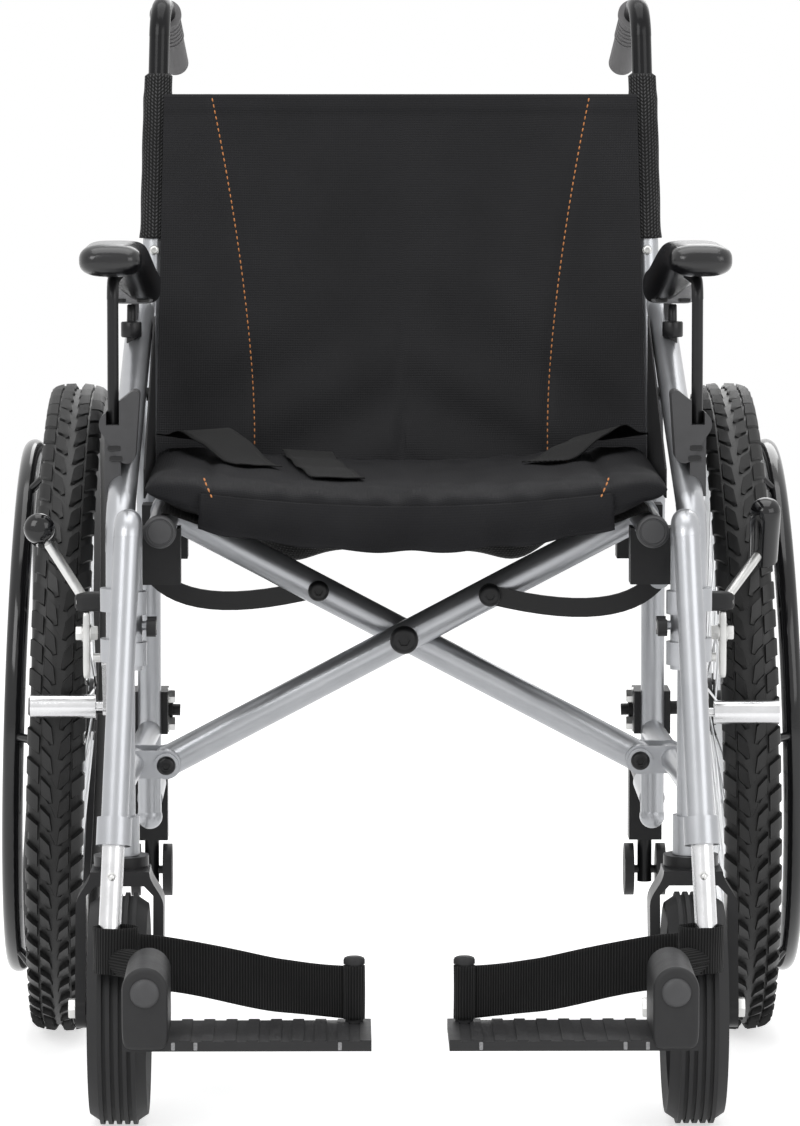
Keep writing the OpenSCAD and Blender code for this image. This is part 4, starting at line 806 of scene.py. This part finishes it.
castor_nut = [
    (0, 0.0062, 1), (0.0085, 0.0062, 1), (0.0092, 0.0050, 1), (0.0092, 0.0004, 1), (0.0105, 0.0004, 0),
    (0.0105, -0.0006, 0), (0, -0.0006, 0)]
for name, side in SIDES.items():
    for end in (-1, 1):
        nut_name = f"castor_nut_{name}_{'out' if end == side else 'in'}"
        nut_at = (side * 0.248 + end * 0.0381, -0.270, 0.100)
        turned(nut_name, castor_nut, nut_at, (end, 0, 0), zinc_plate, f"castor_fork_{name}",
               sides=48)

# Footplate hinge covers
# Each hinge housing is closed in front by a moulded cover, straight below and round above.
# A domed plug sits in it.
HINGE_X, HINGE_Y = 0.218, -0.5255


def cover_points(side):
    """Layers of one outline, a half circle above a rounded box: each has a share of the size and a step
    forward."""
    turn = np.linspace(0, 2 * np.pi, 72, endpoint=False)
    c, s = np.cos(turn), np.sin(turn)
    wide, middle, foot = 0.0189, 0.1581, 0.1090
    edge_x = wide * np.sign(c) * np.abs(c) ** np.where(s < 0, 0.25, 1.0)
    edge_z = np.where(s < 0, -(middle - foot) * np.abs(s) ** 0.25, wide * s)
    layers = np.array([
        (0.0, 0.0045), (0.80, 0.0045), (0.93, 0.0038), (0.985, 0.0024), (1.0, 0.0008), (1.0, -0.0030),
        (0.0, -0.0030)])
    share, out = layers[:, :1], layers[:, 1:]
    x, y, z = side * HINGE_X + share * edge_x, HINGE_Y - out + 0 * turn, middle + share * edge_z
    return np.stack([x, y, z], -1)


hinge_dome = [
    (0, 0.0048), (0.0050, 0.0045), (0.0088, 0.0036), (0.0114, 0.0022), (0.0121, 0.0006),
    (0.0123, -0.0016), (0, -0.0016)]
for name, side in SIDES.items():
    plate = f"footplate_{name}"
    points = cover_points(side)
    cover = piece(f"footplate_cover_{name}", points, quads(*points.shape[:2], False, True), moulded_black,
                  plate)
    dome_at = (side * HINGE_X, -0.5300, 0.1560)
    turned(f"footplate_cap_{name}", hinge_dome, dome_at, FORWARD, cap_grey, plate)

# Heel strap loops
# The strap's outer end is sewn into a sock of the same elastic over the leg tube's bend.
# The inner end is sewn into a loop round the heel rod.
loops = {
    "sock": ((0.2475, -0.371, 0.148), (0.2475, -0.371, 0.187), 0.0195, 0.0155, "hanger", "leg_extension"),
    "crank": ((0.2490, -0.373, 0.158), (0.2215, -0.402, 0.158), 0.0122, 0.0122, "hanger", "leg_extension"),
    "rod": ((0.046, -0.433, 0.1186), (0.046, -0.433, 0.1635), 0.0090, 0.0090, "footplate", "footplate"),
}


def loop_points(start, end, wide, deep, rings=16):
    """Tube of cloth round the line from start to end: an ellipse, a little slack, its hems square."""
    start, end = np.asarray(start, float), np.asarray(end, float)
    axis = (end - start) / np.linalg.norm(end - start)
    first = np.cross([0.0, 1.0, 0.0], axis) if abs(axis[2]) > 0.9 else np.cross([0.0, 0.0, 1.0], axis)
    first /= np.linalg.norm(first)
    turn = np.linspace(0, 2 * np.pi, 56, endpoint=False)[:, None, None]
    along = np.linspace(0, 1, rings)[None, :, None]
    slack = 1 + 0.025 * np.sin(3 * turn + 3 * along)
    round_way = wide * np.cos(turn) * first + deep * np.sin(turn) * np.cross(axis, first)
    return start + along * (end - start) + slack * round_way


for name, side in SIDES.items():
    mirror = np.array([side, 1.0, 1.0])
    for place, (start, end, wide, deep, body, holder) in loops.items():
        points = loop_points(mirror * start, mirror * end, wide, deep)
        flat = np.stack([lengths(points, 1), lengths(points, 0)], -1)
        faces = quads(*points.shape[:2], True, False)
        loop = piece(f"heel_strap_{place}_{name}", points, faces, elastic, uv=flat)
        thicken(loop, 0.0012)
        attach(loop, f"{body}_{name}")
        round_way = float(lengths(points, 0)[-1, 8] + np.linalg.norm(points[-1, 8] - points[0, 8]))
        float(lengths(points, 1)[0, -1])

# Lap belt
# Ends of black webbing left lying on the seat: one runs straight to the front.
# Two come from the rear corners and stand up in a hump.
BELT_WIDE = 0.046
belt_ways = {
    "middle": ((-0.088, 0.150), (-0.080, 0.000), (-0.058, -0.150), 0.0),
    "left": ((-0.205, 0.150), (-0.185, 0.060), (-0.130, -0.070), 0.016),
    "right": ((0.208, 0.150), (0.185, 0.060), (0.125, -0.020), 0.014),
}


def belt_points(start, bend, end, hump):
    """Band along a quadratic curve on the cushion's top line, with small waves and one hump."""
    t = np.linspace(0, 1, 61)[:, None]
    w = np.linspace(-0.5, 0.5, 9)[None, :]
    way = (1 - t) ** 2 * np.array(start) + 2 * t * (1 - t) * np.array(bend) + t ** 2 * np.array(end)
    along = np.gradient(way, axis=0)
    across = np.stack([-along[:, 1], along[:, 0]], -1) / np.linalg.norm(along, axis=1, keepdims=True)
    x = way[:, :1] + BELT_WIDE * w * across[:, :1]
    y = way[:, 1:] + BELT_WIDE * w * across[:, 1:]
    lift = hump * np.sin(np.pi * t) ** 2 * (1 + 0.5 * w)
    z = trough_low + trough_rise * (x / CUSHION_X) ** 2 + 0.0030 + 0.0010 * (1 + np.sin(19 * t)) + lift
    return np.stack([x, y, z], -1)


for name, way in belt_ways.items():
    points = belt_points(*way)
    flat = np.stack([lengths(points, 1), lengths(points, 0)], -1)
    belt = piece(f"lap_belt_{name}", points, quads(*points.shape[:2]), elastic, uv=flat)
    thicken(belt, 0.0012)
    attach(belt, "seat")
    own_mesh(belt)
    float(lengths(points, 0)[-1, 4])

# Armrest hinge blocks and stops
# A speckled grey moulding holds the rod under the pad's tail; below it a bolt with a nut on the sloped
# tube takes the armrest's weight. The bracket's face has two drain slots.
# The moulding's two slits and the bracket's slots are small black pads: painted shade for their hollows.
ARM_HINGE_X = 0.2475
speckled_grey = finish("speckled_grey", (0.12, 0.12, 0.125), (0.46, 0.46, 0.47), 850.0, (0.55, 0.7),
                       1500.0, 0.0003)


def moulding(name, centre, size, material, body, square=0.3):
    """Block with rounded edges: a ball whose three axes follow sign(c) |c|^square."""
    rows, cols = 25, 48
    u = np.linspace(-np.pi / 2, np.pi / 2, rows)[:, None]
    v = np.linspace(0, 2 * np.pi, cols, endpoint=False)[None, :]
    waves = (np.cos(u), np.sin(u), np.cos(v), np.sin(v))
    cu, su, cv, sv = (np.sign(c) * np.abs(c) ** square for c in waves)
    ball = np.stack([cu * cv, cu * sv, su + 0 * v], -1)
    points = np.asarray(centre) + ball * np.asarray(size) / 2
    made = piece(name, points, quads(rows, cols, False, True), material, body)


stop_bolt = [
    (0, 0.0335), (0.0030, 0.0335), (0.0038, 0.0325), (0.0040, 0.0180), (0.0088, 0.0176), (0.0095, 0.0165),
    (0.0095, 0.0045), (0.0088, 0.0035), (0.0045, 0.0030), (0.0045, -0.0020), (0, -0.0020)]
for name, side in SIDES.items():
    arm, chassis = f"armrest_{name}", f"{name}_frame"
    block_at = (side * ARM_HINGE_X, 0.100, 0.7065)
    moulding(f"arm_hinge_{name}", block_at, (0.040, 0.046, 0.030), speckled_grey, arm)
    for count, off in enumerate((-0.0105, 0.0105)):
        # Small gloss black pads on the faces: painted shade where the slits and slots are hollow.
        slit_at = (side * ARM_HINGE_X + off, 0.0770, 0.6950)
        moulding(f"arm_hinge_slit_shade_{name}_{count}", slit_at, (0.011, 0.0016, 0.0034), gloss_black, arm)
        slot_shade_at = (side * (0.2545 - 0.0015 * count), -0.1701, 0.5775 - 0.009 * count)
        moulding(f"bracket_slot_shade_{name}_{count}", slot_shade_at, (0.011, 0.0016, 0.0046), gloss_black, chassis)
    turned(f"arm_stop_{name}", stop_bolt, (side * 0.2486, 0.100, 0.6568), UPWARD, satin_black, chassis)

# Wheel lock fittings
# Black rubber grips on the cranked levers, a black thumb plate at each pivot and a zinc side plate with
# two nuts. The left lever is set forward.
LEVER_AT = np.array([0.0, -0.118, 0.438])
GRIP_X, LEVER_CRANK, GRIP_LEAN = 0.32088, 0.044, np.pi / 6
grip_skin = [
    (0.0050, -0.0030), (0.0110, -0.0028), (0.0127, -0.0010), (0.0129, 0.0060), (0.0131, 0.0200),
    (0.0135, 0.0360), (0.0137, 0.0480), (0.0132, 0.0540), (0.0112, 0.0585), (0.0075, 0.0610),
    (0.0035, 0.0619), (0, 0.0620)]
small_nut = [
    (0, 0.0062, 1), (0.0062, 0.0062, 1), (0.0068, 0.0053, 1), (0.0068, 0.0006, 1), (0.0080, 0.0006, 0),
    (0.0080, -0.0006, 0), (0, -0.0006, 0)]
for name, side, lean in (("left", -1, np.radians(50)), ("right", 1, 0.0)):
    lever, chassis = f"brake_lever_{name}", f"{name}_frame"
    c, s = np.cos(lean), np.sin(lean)
    up = np.array([0.0, -np.sin(lean + GRIP_LEAN), np.cos(lean + GRIP_LEAN)])
    crank = np.array([side * GRIP_X, LEVER_CRANK * (c - s), LEVER_CRANK * (c + s)])
    grip_at = LEVER_AT + crank - up * 0.0125
    turned(f"brake_grip_{name}", grip_skin, grip_at, up, gloss_black, lever)
    thumb_at = LEVER_AT + np.array([side * 0.2765, 0, 0])
    moulding(f"brake_thumb_{name}", thumb_at, (0.031, 0.020, 0.0172), moulded_black, lever, square=0.5)
    plate_at = (side * 0.2815, -0.118, 0.400)
    plate_size = (0.0065, 0.018, 0.060)
    moulding(f"brake_side_plate_{name}", plate_at, plate_size, zinc_plate, chassis)
    for place, nut_x, way in (("out", 0.2850, side), ("in", 0.2780, -side)):
        nut_at = (side * nut_x, -0.118, 0.410)
        turned(f"brake_nut_{name}_{place}", small_nut, nut_at, (way, 0, 0), zinc_plate, chassis,
               sides=48)

# Bolts of the frame
# Black socket heads at the lower pivots, small bright screws on the canes, zinc nuts on the axle clamps.
# Spring buttons lock the leg tubes, and the footplates have a rod cap and slits in their front lips.
PIVOT_Y = {"left": -0.0744, "right": -0.0434}
SCREW_Z = 0.736
leg_button = [
    (0, 0.0030), (0.0016, 0.0027), (0.0028, 0.0016), (0.0033, 0.0), (0.0046, -0.0004), (0.0046, -0.0030),
    (0, -0.0030)]
rod_cap = [
    (0, 0.0042), (0.0060, 0.0040), (0.0082, 0.0030), (0.0090, 0.0012), (0.0090, -0.0020), (0, -0.0020)]
for name, side in SIDES.items():
    chassis, plate = f"{name}_frame", f"footplate_{name}"
    pivot_at = (side * RAIL_X, PIVOT_Y[name], 0.286)
    socket_cap(f"pivot_cap_{name}", pivot_at, 0.0085, 0.0045, satin_black, chassis)
    for count, off in enumerate((0.013, -0.013)):
        nut_at = (side * 0.2188, 0.212, 0.3026 + off)
        turned(f"clamp_nut_{name}_{count}", small_nut, nut_at, (-side, 0, 0), zinc_plate, chassis,
               sides=48)
    cane_x, cane_y = cane_at(SCREW_Z)
    screw_at = (side * cane_x, cane_y - 0.0122, SCREW_Z)
    socket_cap(f"cane_screw_{name}", screw_at, 0.0045, 0.003, zinc_plate, chassis)
    button_at = (side * 0.2510, -0.3600, 0.227)
    turned(f"leg_button_{name}", leg_button, button_at, FORWARD, zinc_plate, f"hanger_{name}")
    turned(f"heel_rod_cap_{name}", rod_cap, (side * 0.046, -0.433, 0.167), UPWARD, moulded_black, plate)
    for count, place in enumerate((0.195, 0.1766, 0.058)):
        slit_at = (side * place, -0.5250, 0.1112)
        moulding(f"plate_slit_{name}_{count}", slit_at, (0.0032, 0.0012, 0.0066), speckled_grey, plate)
